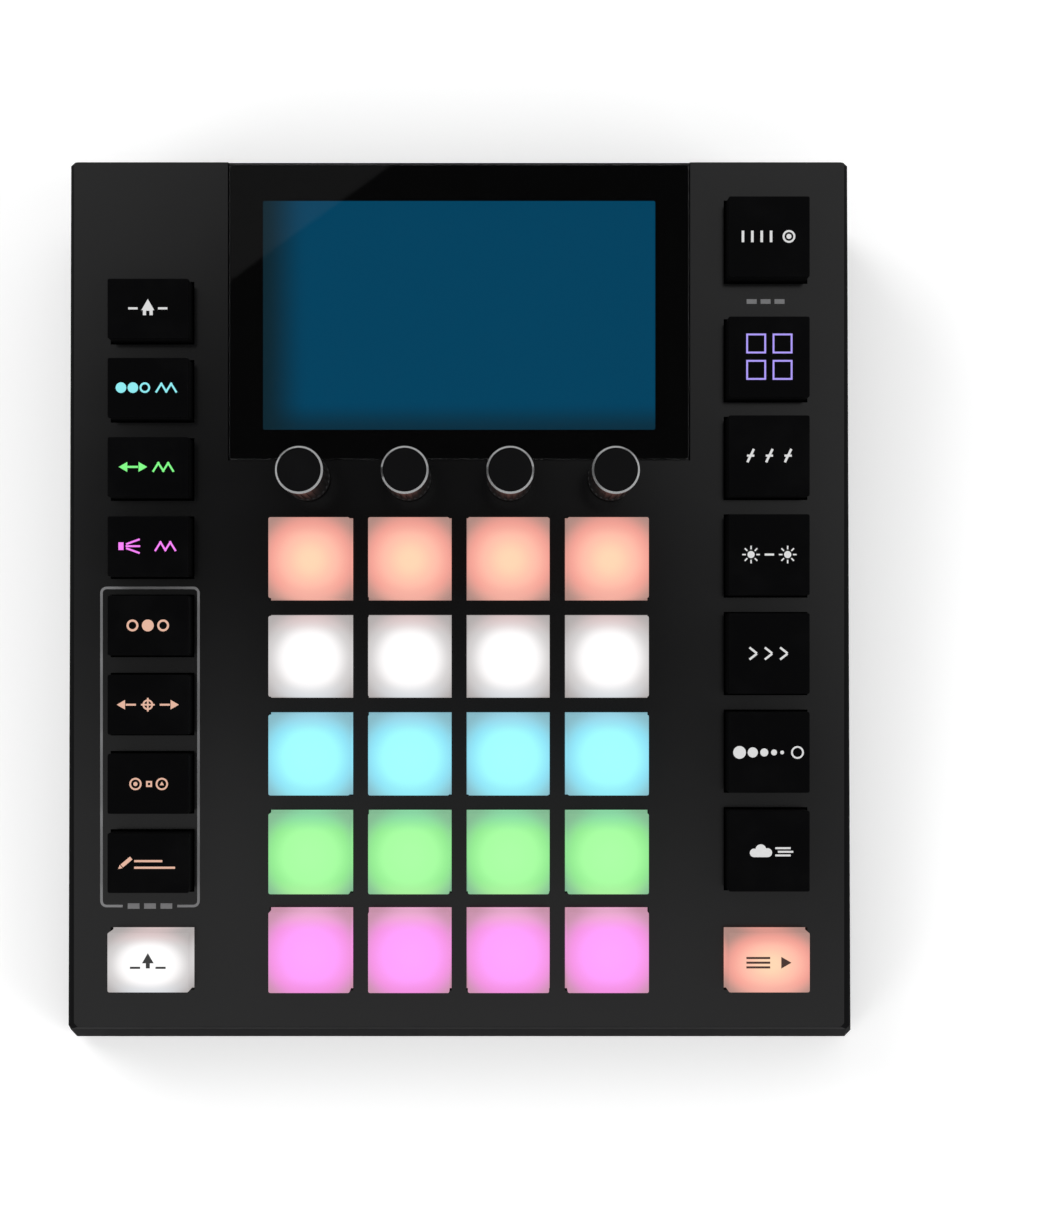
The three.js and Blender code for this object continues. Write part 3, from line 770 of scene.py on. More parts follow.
class DESK_OT_case(Maker, bpy.types.Operator):
    """Moulded case with its key slots, and every edge lightly rounded"""

    bl_idname = "desk.case"
    bl_label = "Case"

    def make(self):
        case = rounded_copy("top_case", "case_moulding", self.sizes.case_edge, 20)
        fit(case, "case", "case_plastic", satin_charcoal(self.colours), bevel_charcoal_painted_light(self.colours),
            textured_charcoal_painted_light(self.colours), stands_for=["top_case"])
        out = -press_direction()
        # Faces are sorted by their tilt to the panel. The bevel and walls get the lighter charcoal, which is
        # painted light on the sloping faces.
        for face in case.data.polygons:
            tilt = face.normal.dot(out)
            face.material_index = 0 if tilt > PANEL_TILT else 1 if tilt > BEVEL_TILT else 2


class DESK_OT_tray(Maker, bpy.types.Operator):
    """Folded steel tray that closes the case below and behind"""

    bl_idname = "desk.tray"
    bl_label = "Steel tray"

    def make(self):
        tray = rounded_copy("bottom_case", "steel_tray", self.sizes.sheet_edge)
        fit(tray, "case", "tray_steel", powder_coat(self.colours), stands_for=["bottom_case"])


class DESK_OT_feet(Maker, bpy.types.Operator):
    """Four rubber feet, dished underneath"""

    bl_idname = "desk.feet"
    bl_label = "Feet"

    def make(self):
        low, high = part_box("foot_front_left")
        radius, height = (high.x - low.x) / 2, high.z
        model = start_drum("foot", radius, 0, height, 48)
        with editing(model):
            pick_rim(model, 0)
            round_edges(0.7 * MM, 3)
            pick_rim(model, height)
            round_edges(0.25 * MM)
            pick_down(model, 0)
            inset(1.6 * MM)
            push(0.5 * MM)
            inset(1.2 * MM)
            push(-0.3 * MM)
        smooth(model)
        for corner in FEET:
            low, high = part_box(f"foot_{corner}")
            foot = copy_to(model, f"rubber_foot_{corner}", Matrix.Translation(
                ((low.x + high.x) / 2, (low.y + high.y) / 2, 0)))
            fit(foot, "case", "foot_rubber", rubber(), stands_for=[f"foot_{corner}"])
        discard(model)


def screw_model(radius, height):
    """A pan-head screw with a cross recess, its seat at zero and its head up."""
    screw = start_drum("screw", radius, 0, height, 32)
    with editing(screw):
        pick_rim(screw, height)
        round_edges(0.45 * height, 3)
        pick_down(screw, 0)
        inset(0.5 * radius)
        push(-0.9 * height)
    long, narrow, deep = 1.15 * radius, 0.26 * radius, 1.1 * height
    cut_with(screw, start_box("slot_across", (long, narrow, deep), (0, 0, height)),
             start_box("slot_along", (narrow, long, deep), (0, 0, height)))
    smooth(screw)
    return screw


class DESK_OT_screws(Maker, bpy.types.Operator):
    """Six screws up into the case and two in each socket flange"""

    bl_idname = "desk.screws"
    bl_label = "Screws"

    def make(self):
        model = screw_model(self.sizes.screw_head, 1.1 * MM)
        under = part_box("bottom_case")[0].z
        down = Matrix.Rotation(math.pi, 4, "X")
        number = 0
        for y in CASE_SCREW_ROWS:
            for x in (-CASE_SCREW_REACH, CASE_SCREW_REACH):
                number += 1
                turn = Matrix.Rotation(number, 4, "Z")
                screw = copy_to(model, f"case_screw_{number}",
                                Matrix.Translation((x, y, under)) @ down @ turn)
                fit(screw, "case", "bright_steel", black_nickel())
        small = screw_model(2.6 * MM, 0.9 * MM)
        across, up = SOCKET_SCREWS
        for i in SOCKETS:
            for side, letter in ((-1, "a"), (1, "b")):
                seat = socket_place(i) @ Matrix.Translation((side * across, side * up, SOCKET_PLATE))
                screw = copy_to(small, f"socket_screw_{i}{letter}",
                                seat @ Matrix.Rotation(0.7 * i + side, 4, "Z"))
                fit(screw, "case", "bright_steel", black_nickel())
        discard(model, small)


class DESK_OT_display(Maker, bpy.types.Operator):
    """Cover glass with its black printed border, over the lit screen"""

    bl_idname = "desk.display"
    bl_label = "Display"

    def make(self):
        low, high = panel_box("screen_glass")
        size, centre = high - low, (low + high) / 2
        glass = start_box("cover_glass", size)
        soften(glass, 0.9 * MM, 5, size.z / 2, 0.1 * MM)
        even_normals(glass)
        place(glass, on_panel(*centre))
        fit(glass, "case", "cover_glass", clear_glass(), stands_for=["screen_glass"])

        cell_low, cell_high = panel_box("display_module")
        middle_v = (cell_low.y + cell_high.y) / 2
        border = start_box("glass_border_print", (size.x - 0.3 * MM, size.y - 0.3 * MM, 0.04 * MM))
        opening = start_box("opening", (*WINDOW, 1 * MM), (0, middle_v - centre.y, 0))
        soften(opening, 0.4 * MM, 3)
        cut_with(border, opening)
        place(border, on_panel(centre.x, centre.y, low.z - 0.05 * MM))
        fit(border, "case", "cover_glass", border_ink())

        screen = start_box("lit_screen", (WINDOW.x + 1 * MM, WINDOW.y + 1 * MM, 0.1 * MM))
        soften(screen, 0.3 * MM, 2, 0.05 * MM, 0.03 * MM, 1)
        plan_map(screen, -WINDOW / 2, WINDOW / 2)
        place(screen, on_panel(0, middle_v, cell_high.z + 0.06 * MM))
        fit(screen, "case", "lcd", lit_screen(self.colours))
        refinish("display_module", plated())


def cap_model(name, width, depth, rise, sizes):
    """A key cap centred on the origin: rounded top, retaining flange under the panel, and a plunger."""
    flange_low = FLANGE_TOP - FLANGE
    stem_low = flange_low - 1.4 * MM
    cap = start_box(name, (width, depth, rise - FLANGE_TOP), (0, 0, (rise + FLANGE_TOP) / 2))
    soften(cap, sizes.cap_corner, 4, rise, sizes.cap_crown, 3)
    with editing(cap):
        pick_down(cap, FLANGE_TOP)
        flare((width + 2 * FLANGE) / width, (depth + 2 * FLANGE) / depth, FLANGE_TOP)
        push(-FLANGE)
        flare(STEM_WIDTH / (width + 2 * FLANGE), STEM_WIDTH / (depth + 2 * FLANGE), flange_low)
        push(stem_low - flange_low)
    plan_map(cap, (-width / 2, -depth / 2), (width / 2, depth / 2))
    even_normals(cap)
    return cap


def make_caps(sizes, caps, finish_of, slot_of):
    """One cap for each node, modelled once for each size."""
    models = {}
    for node in caps:
        low, high = panel_box(node)
        width, depth = high.x - low.x - 2 * FLANGE, high.y - low.y - 2 * FLANGE
        key = round(depth / MM, 1)
        if key not in models:
            models[key] = cap_model(f"cap_{key}", width, depth, high.z, sizes)
        piece = copy_to(models[key], f"{node}_cap", seat_of(node))
        fit(piece, node, slot_of(node), finish_of(node), stands_for=[node])
    discard(*models.values())


class DESK_OT_black_keys(Maker, bpy.types.Operator):
    """Fifteen satin black key caps"""

    bl_idname = "desk.black_keys"
    bl_label = "Black keys"

    def make(self):
        make_caps(self.sizes, BLACK_KEYS, lambda node: black_cap(self.colours), lambda node: "key_black")


class DESK_OT_lit_caps(Maker, bpy.types.Operator):
    """Twenty pads and two keys of frosted plastic, lit from below"""

    bl_idname = "desk.lit_caps"
    bl_label = "Lit pads and keys"

    def make(self):
        make_caps(self.sizes, LIT_CAPS, lambda node: frosted_cap(LIT_CAPS[node]),
                  lambda node: "lit_" + LIT_CAPS[node])


# The pictograms' strokes, in millimetres from the middle of the cap and degrees.


def bar(x, y, width, height, turn=0):
    return "bar", x, y, width, height, turn


def disc(x, y, radius, sides=24, turn=0):
    return "disc", x, y, radius, sides, turn


def ring(x, y, radius, line, sides=24, turn=0):
    return "ring", x, y, radius, sides, turn, line


def zigzag(x):
    return [bar(x + 1.15 * i, 0, 0.45, 2.7, 32 if i % 2 else -32) for i in range(4)]


def sun(x):
    rays = [math.pi * i / 4 for i in range(8)]
    return [disc(x, 0, 0.85, 18), *[bar(x + 1.65 * math.cos(a), 1.65 * math.sin(a), 0.85, 0.34,
                                        math.degrees(a)) for a in rays]]


def bolt(x):
    return [bar(x + 0.35, 0.7, 0.55, 1.9, -25), bar(x - 0.35, -0.7, 0.55, 1.9, -25), bar(x, 0, 1.7, 0.5)]


PICTOGRAMS = {
    "key_home": ("white", [
        disc(0, 0.45, 1.75, 3, 90), bar(-0.78, -0.85, 0.75, 1.5), bar(0.78, -0.85, 0.75, 1.5),
        bar(0, -0.3, 1.2, 0.5), bar(-3.5, 0, 2.2, 0.5), bar(3.5, 0, 2.2, 0.5)]),
    "key_color_fx": ("cyan", [
        disc(-6.3, 0, 1.25, 20), disc(-3.5, 0, 1.25, 20), ring(-0.7, 0, 1.25, 0.45, 20), *zigzag(2.6)]),
    "key_move_fx": ("green", [
        disc(-5.5, 0, 1.35, 3, 180), bar(-3.6, 0, 2.6, 0.5), disc(-1.5, 0, 1.35, 3), *zigzag(1.9)]),
    "key_beam_fx": ("magenta", [
        bar(-6.3, 0, 1.2, 1.8), bar(-3.5, 1.05, 3.4, 0.45, 20), bar(-3.5, 0, 3.4, 0.45),
        bar(-3.5, -1.05, 3.4, 0.45, -20), *zigzag(2.4)]),
    "key_color": ("salmon", [ring(-3.6, 0, 1.4, 0.5), disc(0, 0, 1.4), ring(3.6, 0, 1.4, 0.5)]),
    "key_position": ("salmon", [
        ring(0, 0, 1.25, 0.4), bar(0, 0, 0.4, 3.2), bar(0, 0, 3.2, 0.4), disc(-6, 0, 1.3, 3, 180),
        bar(-4, 0, 2.4, 0.45), disc(6, 0, 1.3, 3), bar(4, 0, 2.4, 0.45)]),
    "key_gobo": ("salmon", [
        ring(-2.9, 0, 1.45, 0.4), disc(-2.9, 0, 0.5, 12), ring(0.3, 0, 1.0, 0.4, 4, 45),
        ring(3.3, 0, 1.45, 0.4), disc(3.3, 0, 0.6, 3, 90)]),
    "key_live_edit": ("salmon", [
        bar(-5.0, 0.3, 2.9, 0.9, 40), disc(-6.5, -0.95, 0.6, 3, 220), bar(1.6, -1.05, 9.6, 0.5),
        bar(0.1, 0.5, 6.6, 0.5)]),
    "key_shift": ("dark_grey", [
        disc(0, 0.65, 1.6, 3, 90), bar(0, -0.7, 0.95, 1.3), bar(-3.0, -1.2, 2.4, 0.5),
        bar(3.0, -1.2, 2.4, 0.5)]),
    "key_tap": ("white", [
        *[bar(-6.2 + 2.2 * i, 0, 0.6, 2.7) for i in range(4)], ring(4.6, 0, 1.5, 0.45),
        disc(4.6, 0, 0.6, 14)]),
    "key_groups": ("lavender", [ring(x, y, 3.3, 0.42, 4, 45) for x in (-3.1, 3.1) for y in (-3.1, 3.1)]),
    "key_strobe": ("white", [*bolt(-4.4), *bolt(0), *bolt(4.4)]),
    "key_blinder": ("white", [*sun(-4.3), *sun(4.3), bar(0, 0, 2.2, 0.5)]),
    "key_speed": ("white", [
        bar(x, 0.72 * side, 2.2, 0.5, -38 * side) for x in (-3.8, -0.2, 3.4) for side in (1, -1)]),
    "key_blackout": ("white", [
        disc(-7.0, 0, 1.5), disc(-3.9, 0, 1.2, 20), disc(-1.2, 0, 0.95, 18), disc(1.1, 0, 0.7, 14),
        disc(3.0, 0, 0.45, 12), ring(6.6, 0, 1.5, 0.4)]),
    "key_smoke": ("white", [
        disc(-3.6, -0.35, 1.0, 18), disc(-2.0, 0.35, 1.3, 20), disc(-0.4, -0.3, 1.05, 18),
        bar(-2.0, -0.95, 3.2, 0.8), bar(3.2, 0.75, 3.6, 0.45), bar(3.8, -0.1, 3.6, 0.45),
        bar(3.2, -0.95, 3.6, 0.45)]),
    "key_preset": ("brown", [*[bar(-2.6, y, 5.6, 0.5) for y in (1.1, 0, -1.1)], disc(3.6, 0, 1.6, 3)]),
}
INKS = {  # colour, glow
    "white": ((0.4, 0.4, 0.4), (0.3, 0.3, 0.3)),
    "cyan": ((0.15, 0.4, 0.42), (0.12, 0.44, 0.47)),
    "green": ((0.12, 0.45, 0.12), (0.1, 0.52, 0.12)),
    "magenta": ((0.45, 0.12, 0.45), (0.52, 0.1, 0.52)),
    "salmon": ((0.4, 0.26, 0.2), (0.38, 0.2, 0.14)),
    "lavender": ((0.25, 0.2, 0.5), (0.17, 0.13, 0.45)),
    "dark_grey": ((0.03, 0.03, 0.03), None),
    "brown": ((0.05, 0.018, 0.012), None),
    "print_grey": ((0.2, 0.2, 0.205), None),
}


def ink(name):
    base, glow = INKS[name]
    return solid(f"ink_{name}", base, 0.45, film_amount=0.15, grain=5000, patches=150, uneven=0.05,
                 bump=0.05, glow=glow)


def draw(parts):
    """Draws flat shapes in edit mode, each from a plane or a filled circle."""
    for kind, x, y, *rest in parts:
        centre = (x * MM, y * MM, 0)
        bpy.ops.mesh.select_all(action="DESELECT")
        if kind == "bar":
            width, height, turn = rest
            bpy.ops.mesh.primitive_plane_add(size=MM, location=centre)
            bpy.ops.transform.resize(value=(width, height, 1), center_override=centre)
        else:
            radius, sides, turn = rest[:3]
            bpy.ops.mesh.primitive_circle_add(vertices=sides, radius=radius * MM, fill_type="NGON",
                                              location=centre)
            # The circle's first corner stands at the rear; turn 0 puts it on the right.
            turn -= 90
        if turn:
            bpy.ops.transform.rotate(value=-math.radians(turn), orient_axis="Z", center_override=centre)
        if kind == "ring":
            inset(rest[3] * MM)
            bpy.ops.mesh.delete(type="FACE")


def flat_print(name, parts, depth):
    """Ink of an even thickness, with its underside at zero."""
    artwork = start_sheet(name, MM)
    with editing(artwork):
        pick_all()
        bpy.ops.mesh.delete(type="VERT")
        draw(parts)
        pick_all()
        bpy.ops.mesh.normals_make_consistent(inside=False)
        shape = bmesh.from_edit_mesh(artwork.data)
        if sum(f.normal.z for f in shape.faces) < 0:
            bpy.ops.mesh.flip_normals()
    apply_modifier(artwork, "SOLIDIFY", thickness=depth, offset=1.0)
    with editing(artwork):
        pick_all()
        bpy.ops.mesh.intersect_boolean(operation="UNION", use_self=True, solver="EXACT")
    return artwork


class DESK_OT_legends(Maker, bpy.types.Operator):
    """Plain pictograms on the caps, each moving with its key"""

    bl_idname = "desk.legends"
    bl_label = "Pictograms"

    def make(self):
        for node, (tint, parts) in PICTOGRAMS.items():
            art = flat_print(f"{node}_pictogram", parts, self.sizes.legend_depth)
            place(art, seat_of(node, panel_box(node)[1].z))
            fit(art, node, "lit_white" if tint == "white" else "key_black", ink(tint))


class DESK_OT_panel_print(Maker, bpy.types.Operator):
    """Grey line round the four static keys, and two small marks on the panel"""

    bl_idname = "desk.panel_print"
    bl_label = "Panel print"

    def make(self):
        line = self.sizes.outline_width
        first, last = panel_box("key_color"), panel_box("key_live_edit")
        left, right = first[0].x - 2.1 * MM, first[1].x + 0.9 * MM
        rear, front = first[1].y + 1.5 * MM, last[0].y - 3.3 * MM
        middle = (left + right) / 2
        gap = 6.5 * MM  # half the break in the front line, where its mark stands
        outline = start_sheet("static_keys_outline", 1)
        with editing(outline):
            pick_all()
            bpy.ops.transform.resize(value=(right - left, rear - front, 1), center_override=(0, 0, 0))
            bpy.ops.mesh.bevel(offset=1.5 * MM, segments=6, affect="VERTICES")
            pick_all()
            inset(line)
            bpy.ops.mesh.delete(type="FACE")
            for x in (-gap, gap):
                pick_all()
                bpy.ops.mesh.bisect(plane_co=(x, 0, 0), plane_no=(1, 0, 0))
            pick(outline, "faces", lambda c, n: abs(c.x) < gap and c.y < 0)
            bpy.ops.mesh.delete(type="FACE")
        apply_modifier(outline, "SOLIDIFY", thickness=PRINT_DEPTH, offset=1.0)
        place(outline, on_panel(middle, (rear + front) / 2))
        fit(outline, "case", "case_plastic", ink("print_grey"))

        dashes = [bar(x, 0, 2.8, 1.3) for x in (-3.9, 0, 3.9)]
        tap, groups = panel_box("key_tap"), panel_box("key_groups")
        for name, u, v, size in (
                ("static_keys_mark", middle, front + line / 2, 1.0),
                ("group_key_mark", (tap[0].x + tap[1].x) / 2, (tap[0].y + groups[1].y) / 2, 0.85)):
            mark = flat_print(name, dashes, PRINT_DEPTH)
            place(mark, on_panel(u, v) @ Matrix.Diagonal((size, size, 1, 1)))
            fit(mark, "case", "case_plastic", ink("print_grey"))


class DESK_OT_encoders(Maker, bpy.types.Operator):
    """Four push encoders: black fluted knobs with a bright cut edge, on steel shafts"""

    bl_idname = "desk.encoders"
    bl_label = "Encoders"

    def make(self):
        low, high = panel_box("encoder_knob_1")
        radius, bottom, top = (high.x - low.x) / 2, low.z, high.z
        bore, bore_depth = 3.3 * MM, 12 * MM
        sides, chamfer = 48, self.sizes.knob_chamfer
        model = start_drum("knob", radius, bottom, top, sides)
        with editing(model):
            pick_down(model, bottom)
            inset(radius - bore)
            push(bore_depth)
            pick(model, "edges", lambda a, b: max(a.z, b.z) < bottom + 1e-6
                 and min(a.xy.length, b.xy.length) > radius - 1e-5)
            round_edges(0.25 * MM)
            pick_rim(model, top)
            round_edges(chamfer, 1)
            grip_low, grip_high = bottom + 1.6 * MM, top - 2.2 * MM
            for level in (grip_low, grip_high):
                pick_all()
                bpy.ops.mesh.bisect(plane_co=(0, 0, level), plane_no=(0, 0, 1))
            pick(model, "faces", lambda c, n: grip_low < c.z < grip_high
                 and c.xy.length > radius - 0.3 * MM
                 and math.floor((math.atan2(c.y, c.x) / math.tau + 1) * sides + 0.25) % 2 == 0)
            bpy.ops.mesh.inset(thickness=0.06 * MM, use_individual=True)
            bpy.ops.transform.shrink_fatten(value=-self.sizes.knob_flute)
            pick_up(model, top)
            inset(0.1 * MM)
            push(-0.12 * MM)
            inset(0.3 * MM)
        for face in model.data.polygons:
            on_edge = top - chamfer < face.center.z < top and 0.5 < face.normal.z < 0.9
            on_top = face.center.z > top - 0.3 * MM and face.normal.z > 0.9
            face.material_index = 1 if on_edge else 2 if on_top else 0
        smooth(model)
        for i in ENCODERS:
            knob = copy_to(model, f"knob_{i}", seat_of(f"encoder_knob_{i}"))
            indices = [face.material_index for face in knob.data.polygons]
            fit(knob, f"encoder_knob_{i}", "knob_plastic", knob_black(self.colours),
                bright_cut(self.colours), knob_top(self.colours), stands_for=[f"encoder_knob_{i}"])
            for face, index in zip(knob.data.polygons, indices):
                face.material_index = index
            refinish(f"encoder_shaft_{i}", steel())
        discard(model)


class DESK_OT_boards(Maker, bpy.types.Operator):
    """Finishes of the main board and of the silicone mat under the keys"""

    bl_idname = "desk.boards"
    bl_label = "Boards"

    def make(self):
        refinish("main_board", circuit_board(self.colours))
        refinish("key_mat", silicone())


def socket_place(i):
    """Seat of a three-pole socket on the rear wall, its axis pointing out."""
    low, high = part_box(f"dmx_socket_{i}")
    seat = Vector(((low.x + high.x) / 2, low.y + SOCKET_DEPTH, (low.z + high.z) / 2))
    return Matrix.Translation(seat) @ Matrix.Rotation(-math.pi / 2, 4, "X")


class DESK_OT_dmx_sockets(Maker, bpy.types.Operator):
    """Four three-pole outlets: die-cast shell, insert, gold contacts and release tab"""

    bl_idname = "desk.dmx_sockets"
    bl_label = "Three-pole sockets"

    def make(self):
        sides = self.stage.segments
        low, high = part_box("dmx_socket_1")
        rim = high.y - low.y - SOCKET_DEPTH
        insert, bore_depth = rim - 1.1 * MM, 12 * MM
        shell = start_drum("shell", 11.6 * MM, -SOCKET_DEPTH, rim, sides)
        with editing(shell):
            pick_rim(shell, rim)
            round_edges(0.6 * MM, 3)
            pick_up(shell, rim)
            inset(1.25 * MM)
            push(-bore_depth - rim)
            inset(2.45 * MM)
            push(bore_depth + insert)
        flange = start_box("flange", (26 * MM, 31 * MM, SOCKET_PLATE), (0, 0, SOCKET_PLATE / 2))
        soften(flange, 2 * MM, 5, SOCKET_PLATE, 0.35 * MM)
        cut_with(flange, start_drum("bore", 10.5 * MM, -1 * MM, 3 * MM, sides))
        weld(shell, flange)
        ring = 4.4 * MM  # radius on which the three contacts stand
        spots = [(ring * math.cos(math.radians(a)), ring * math.sin(math.radians(a)))
                 for a in (90, 210, 330)]
        cut_with(shell, *[start_drum(f"hole_{i}", 1.35 * MM, -6 * MM, 4 * MM, 20, spot)
                          for i, spot in enumerate(spots)])
        smooth(shell)

        contact_top = insert - 0.2 * MM
        contact = start_drum("contact", 1.3 * MM, -5.5 * MM, contact_top, 20)
        with editing(contact):
            pick_up(contact, contact_top)
            inset(0.35 * MM)
            push(-6 * MM)
        smooth(contact)
        contacts = join(*[copy_to(contact, f"pole_{i}", Matrix.Translation((*spot, 0)))
                          for i, spot in enumerate(spots)])

        tab_top = SOCKET_PLATE + 0.6 * MM
        tab = start_box("tab", (7.5 * MM, 2.6 * MM, 1 * MM), (0, -13.5 * MM, tab_top - 0.5 * MM))
        soften(tab, 0.6 * MM, 3, tab_top, 0.25 * MM)
        smooth(tab)

        for i in SOCKETS:
            seat = socket_place(i)
            body = copy_to(shell, f"socket_{i}_shell", seat)
            fit(body, "case", "socket_metal", black_nickel(), stands_for=[f"dmx_socket_{i}"])
            fit(copy_to(contacts, f"socket_{i}_contacts", seat), "case", "bright_steel", gold(self.colours))
            fit(copy_to(tab, f"socket_{i}_release", seat), "case", "socket_metal", plated())
        discard(shell, contact, contacts, tab)


class DESK_OT_socket_board(Maker, bpy.types.Operator):
    """Socket board with its plated network and USB shells, black jacks and gold contacts"""

    bl_idname = "desk.socket_board"
    bl_label = "Socket board"

    def make(self):
        board = rounded_copy("io_board", "socket_board", 0.12 * MM)
        fit(board, "case", "circuit_board", circuit_board(self.colours), plated(),
            dark_plastic(), stands_for=["io_board"])
        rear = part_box("io_board")[1].y
        board_top, jacks_end = 8.02 * MM, 46 * MM
        port, half_opening, opening_top = 80.5 * MM, 6.5 * MM, 19 * MM  # the network socket's mouth
        for face in board.data.polygons:
            centre = face.center
            if centre.z > board_top:
                inside = (centre.y < rear - 0.5 * MM and abs(face.normal.y) < 0.5
                          and abs(centre.x - port) < half_opening and centre.z < opening_top)
                face.material_index = 2 if centre.x < jacks_end or inside else 1

        count, pitch = 8, 1.02 * MM
        spring = start_box("network_contacts", (0.35 * MM, 7.5 * MM, 0.25 * MM))
        with editing(spring):
            pick(spring, "faces", lambda c, n: n.y > 0.9)
            push(0.7 * MM, 1.2 * MM)
            pick_uprights(spring)
            round_edges(0.06 * MM, 1)
        apply_modifier(spring, "ARRAY", count=count, use_relative_offset=False, use_constant_offset=True,
                       constant_offset_displace=(pitch, 0, 0))
        first = port - (count - 1) / 2 * pitch
        place(spring, Matrix.Translation((first, rear - 7.5 * MM, 17.6 * MM)))
        fit(spring, "case", "bright_steel", gold(self.colours))


BACKDROP, SKY_LIGHT = 0.98, 0.72
# Edges of the dark canopy, each as a way in the panel's axes and its softness. A direction lies past an edge
# where its product with that way is positive.
CANOPY_EDGES = (((-0.206, -0.978, -0.081), 0.11), ((0.887, 0.461, -0.171), 0.08),
                ((-0.707, 0.707, -0.318), 0.08), ((-1.0, 0.0, -0.33), 0.08))
CARD_EDGE, CARD_LIGHT = (-0.583, 0.813, -0.314), 0.07  # the faint card that the glass mirrors
SOFTBOXES = {  # place, width and power
    "softbox_rear_left": ((-0.9, 0.8, 0.9), 0.7, 6.5),
    "softbox_right": ((1.1, -0.4, 0.9), 0.6, 5.0),
    "softbox_front_left": ((-1.0, -0.8, 0.8), 0.6, 3.5),
}


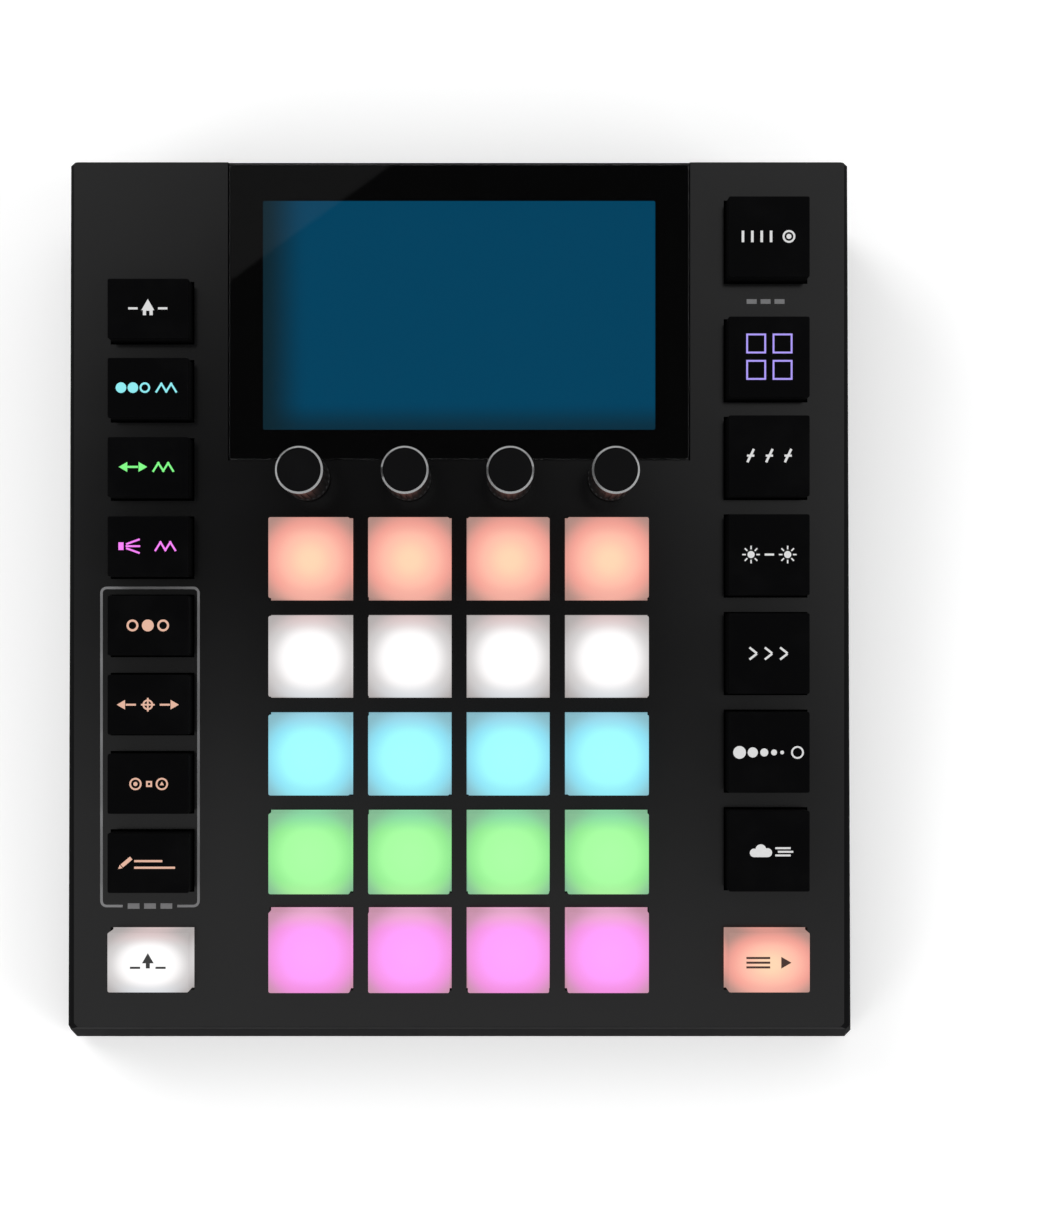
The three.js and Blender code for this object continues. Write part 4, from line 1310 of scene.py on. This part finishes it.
class DESK_OT_stage(Maker, bpy.types.Operator):
    """Pale floor, soft studio light and the camera above the panel"""

    bl_idname = "desk.stage"
    bl_label = "Stage"

    def make(self):
        self.lay_floor()
        self.light()
        self.aim_camera()

    def lay_floor(self):
        floor = start_sheet("studio_floor", 2 * self.stage.floor_reach)
        material, w, shader = blank_material("studio_floor_paper", {
            "Emission Strength": 1.0, "Roughness": 0.9, "Specular IOR Level": 0.1})
        grain = w.range(w.noise(w.position(), 900.0, 3.0), 0.3, 0.7)
        w.feed(shader["Base Color"], w.mix(grain, (0.93, 0.93, 0.93, 1), (0.95, 0.95, 0.95, 1)))
        away = w.add("ShaderNodeVectorMath", {0: w.position()}, operation="LENGTH").outputs["Value"]
        lift = w.times(w.range(away, 0.3, 2.5, 0.2, 0.42),
                       w.add("ShaderNodeLightPath").outputs["Is Camera Ray"])
        w.feed(shader["Emission Color"], w.mix(lift, (0, 0, 0, 1), (1, 1, 1, 1)))
        floor.data.materials.append(material)

    def hang_sky(self):
        """A soft sky round a dark canopy, a dark zone for mirror reflections, and white behind the desk."""
        world = bpy.data.worlds.new("studio_sky")
        bpy.context.scene.world = world
        world.use_nodes = True
        world.node_tree.nodes.clear()
        w = Wiring(world.node_tree)
        ray = w.add("ShaderNodeTexCoord").outputs["Generated"]

        def along(axis):
            inputs = {0: ray, 1: tuple(axis)}
            return w.add("ShaderNodeVectorMath", inputs, operation="DOT_PRODUCT").outputs["Value"]

        axes = PANEL.to_3x3()
        across, back, out = (along(axes.col[i]) for i in range(3))
        upward = w.maths("MAXIMUM", out, 0.05)

        def beyond(line, blur):
            """How far a direction lies past a straight edge overhead, from 0 to 1."""
            return w.range(w.over(along(axes @ Vector(line)), upward), -blur, blur)

        bright = 0.0
        for line, blur in CANOPY_EDGES:
            bright = w.maths("MAXIMUM", bright, beyond(line, blur))
        soft = w.plus(w.times(bright, SKY_LIGHT), 0.01)
        soft = w.times(soft, w.range(across, -0.9, -0.35, 0.35, 1.0))
        # A mirror sees a dark round zone overhead, a little to the rear, and the card across it.
        x = w.over(w.over(across, upward), 0.3)
        y = w.over(w.minus(w.over(back, upward), 0.25), 0.3)
        card = w.times(beyond(CARD_EDGE, 0.002), CARD_LIGHT)
        mirrored = w.plus(w.range(w.reach(x, y), 1.2, 2.6, 0.02, SKY_LIGHT), card)
        path = w.add("ShaderNodeLightPath").outputs
        total = soft
        for kind, value in (("Is Singular Ray", mirrored), ("Is Camera Ray", BACKDROP)):
            inputs = {"Factor": path[kind], "A": total, "B": value}
            total = w.add("ShaderNodeMix", inputs).outputs["Result"]
        background = w.add("ShaderNodeBackground", {"Color": (1, 1, 1, 1), "Strength": total})
        w.add("ShaderNodeOutputWorld", {"Surface": background.outputs[0]})

    def light(self):
        scene = bpy.context.scene
        scene.view_settings.view_transform = "Standard"
        self.hang_sky()
        for name, (spot, size, power) in SOFTBOXES.items():
            lamp = bpy.data.lights.new(name, "AREA")
            lamp.shape, lamp.size, lamp.energy = "SQUARE", size, power
            holder = bpy.data.objects.new(name, lamp)
            scene.collection.objects.link(holder)
            holder.location = spot
            holder.rotation_euler = Vector(spot).to_track_quat("Z", "Y").to_euler()
            holder.visible_camera = holder.visible_glossy = holder.visible_transmission = False

    def aim_camera(self):
        s = self.stage
        camera = bpy.data.cameras.new("overhead")
        camera.lens, camera.sensor_width = s.lens, 36
        camera.shift_x, camera.shift_y = s.shift_x, s.shift_y
        camera.clip_start, camera.clip_end = 0.01, 100
        holder = bpy.data.objects.new("overhead", camera)
        bpy.context.scene.collection.objects.link(holder)
        holder.matrix_world = on_panel(s.eye_u, s.eye_v, s.eye_height)
        bpy.context.scene.camera = holder


OPERATORS = (DESK_OT_case, DESK_OT_tray, DESK_OT_feet, DESK_OT_display, DESK_OT_black_keys,
             DESK_OT_lit_caps, DESK_OT_legends, DESK_OT_panel_print, DESK_OT_encoders, DESK_OT_boards,
             DESK_OT_dmx_sockets, DESK_OT_socket_board, DESK_OT_screws, DESK_OT_stage)


class DESK_PT_sidebar(bpy.types.Panel):
    """The desk's pieces and settings, in the sidebar"""

    bl_idname = "DESK_PT_sidebar"
    bl_label = "Lighting control desk"
    bl_space_type = "VIEW_3D"
    bl_region_type = "UI"
    bl_category = "Desk"

    def draw(self, context):
        for name, group in PROPERTY_GROUPS.items():
            box = self.layout.box()
            for key in group.__annotations__:
                box.prop(getattr(context.scene, name), key)
        for operator in OPERATORS:
            self.layout.operator(operator.bl_idname)


def register():
    for item in (*PROPERTY_GROUPS.values(), *OPERATORS, DESK_PT_sidebar):
        bpy.utils.register_class(item)
    for name, group in PROPERTY_GROUPS.items():
        setattr(bpy.types.Scene, name, PointerProperty(type=group))


def unregister():
    for name in PROPERTY_GROUPS:
        delattr(bpy.types.Scene, name)
    for item in reversed((*PROPERTY_GROUPS.values(), *OPERATORS, DESK_PT_sidebar)):
        bpy.utils.unregister_class(item)


def main():
    register()
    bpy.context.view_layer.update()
    bpy.ops.desk.case()
    bpy.ops.desk.tray()
    bpy.ops.desk.feet()
    bpy.ops.desk.display()
    bpy.ops.desk.black_keys()
    bpy.ops.desk.lit_caps()
    bpy.ops.desk.legends()
    bpy.ops.desk.panel_print()
    bpy.ops.desk.encoders()
    bpy.ops.desk.boards()
    bpy.ops.desk.dmx_sockets()
    bpy.ops.desk.socket_board()
    bpy.ops.desk.screws()
    bpy.ops.desk.stage()


if __name__ == "__main__":
    main()
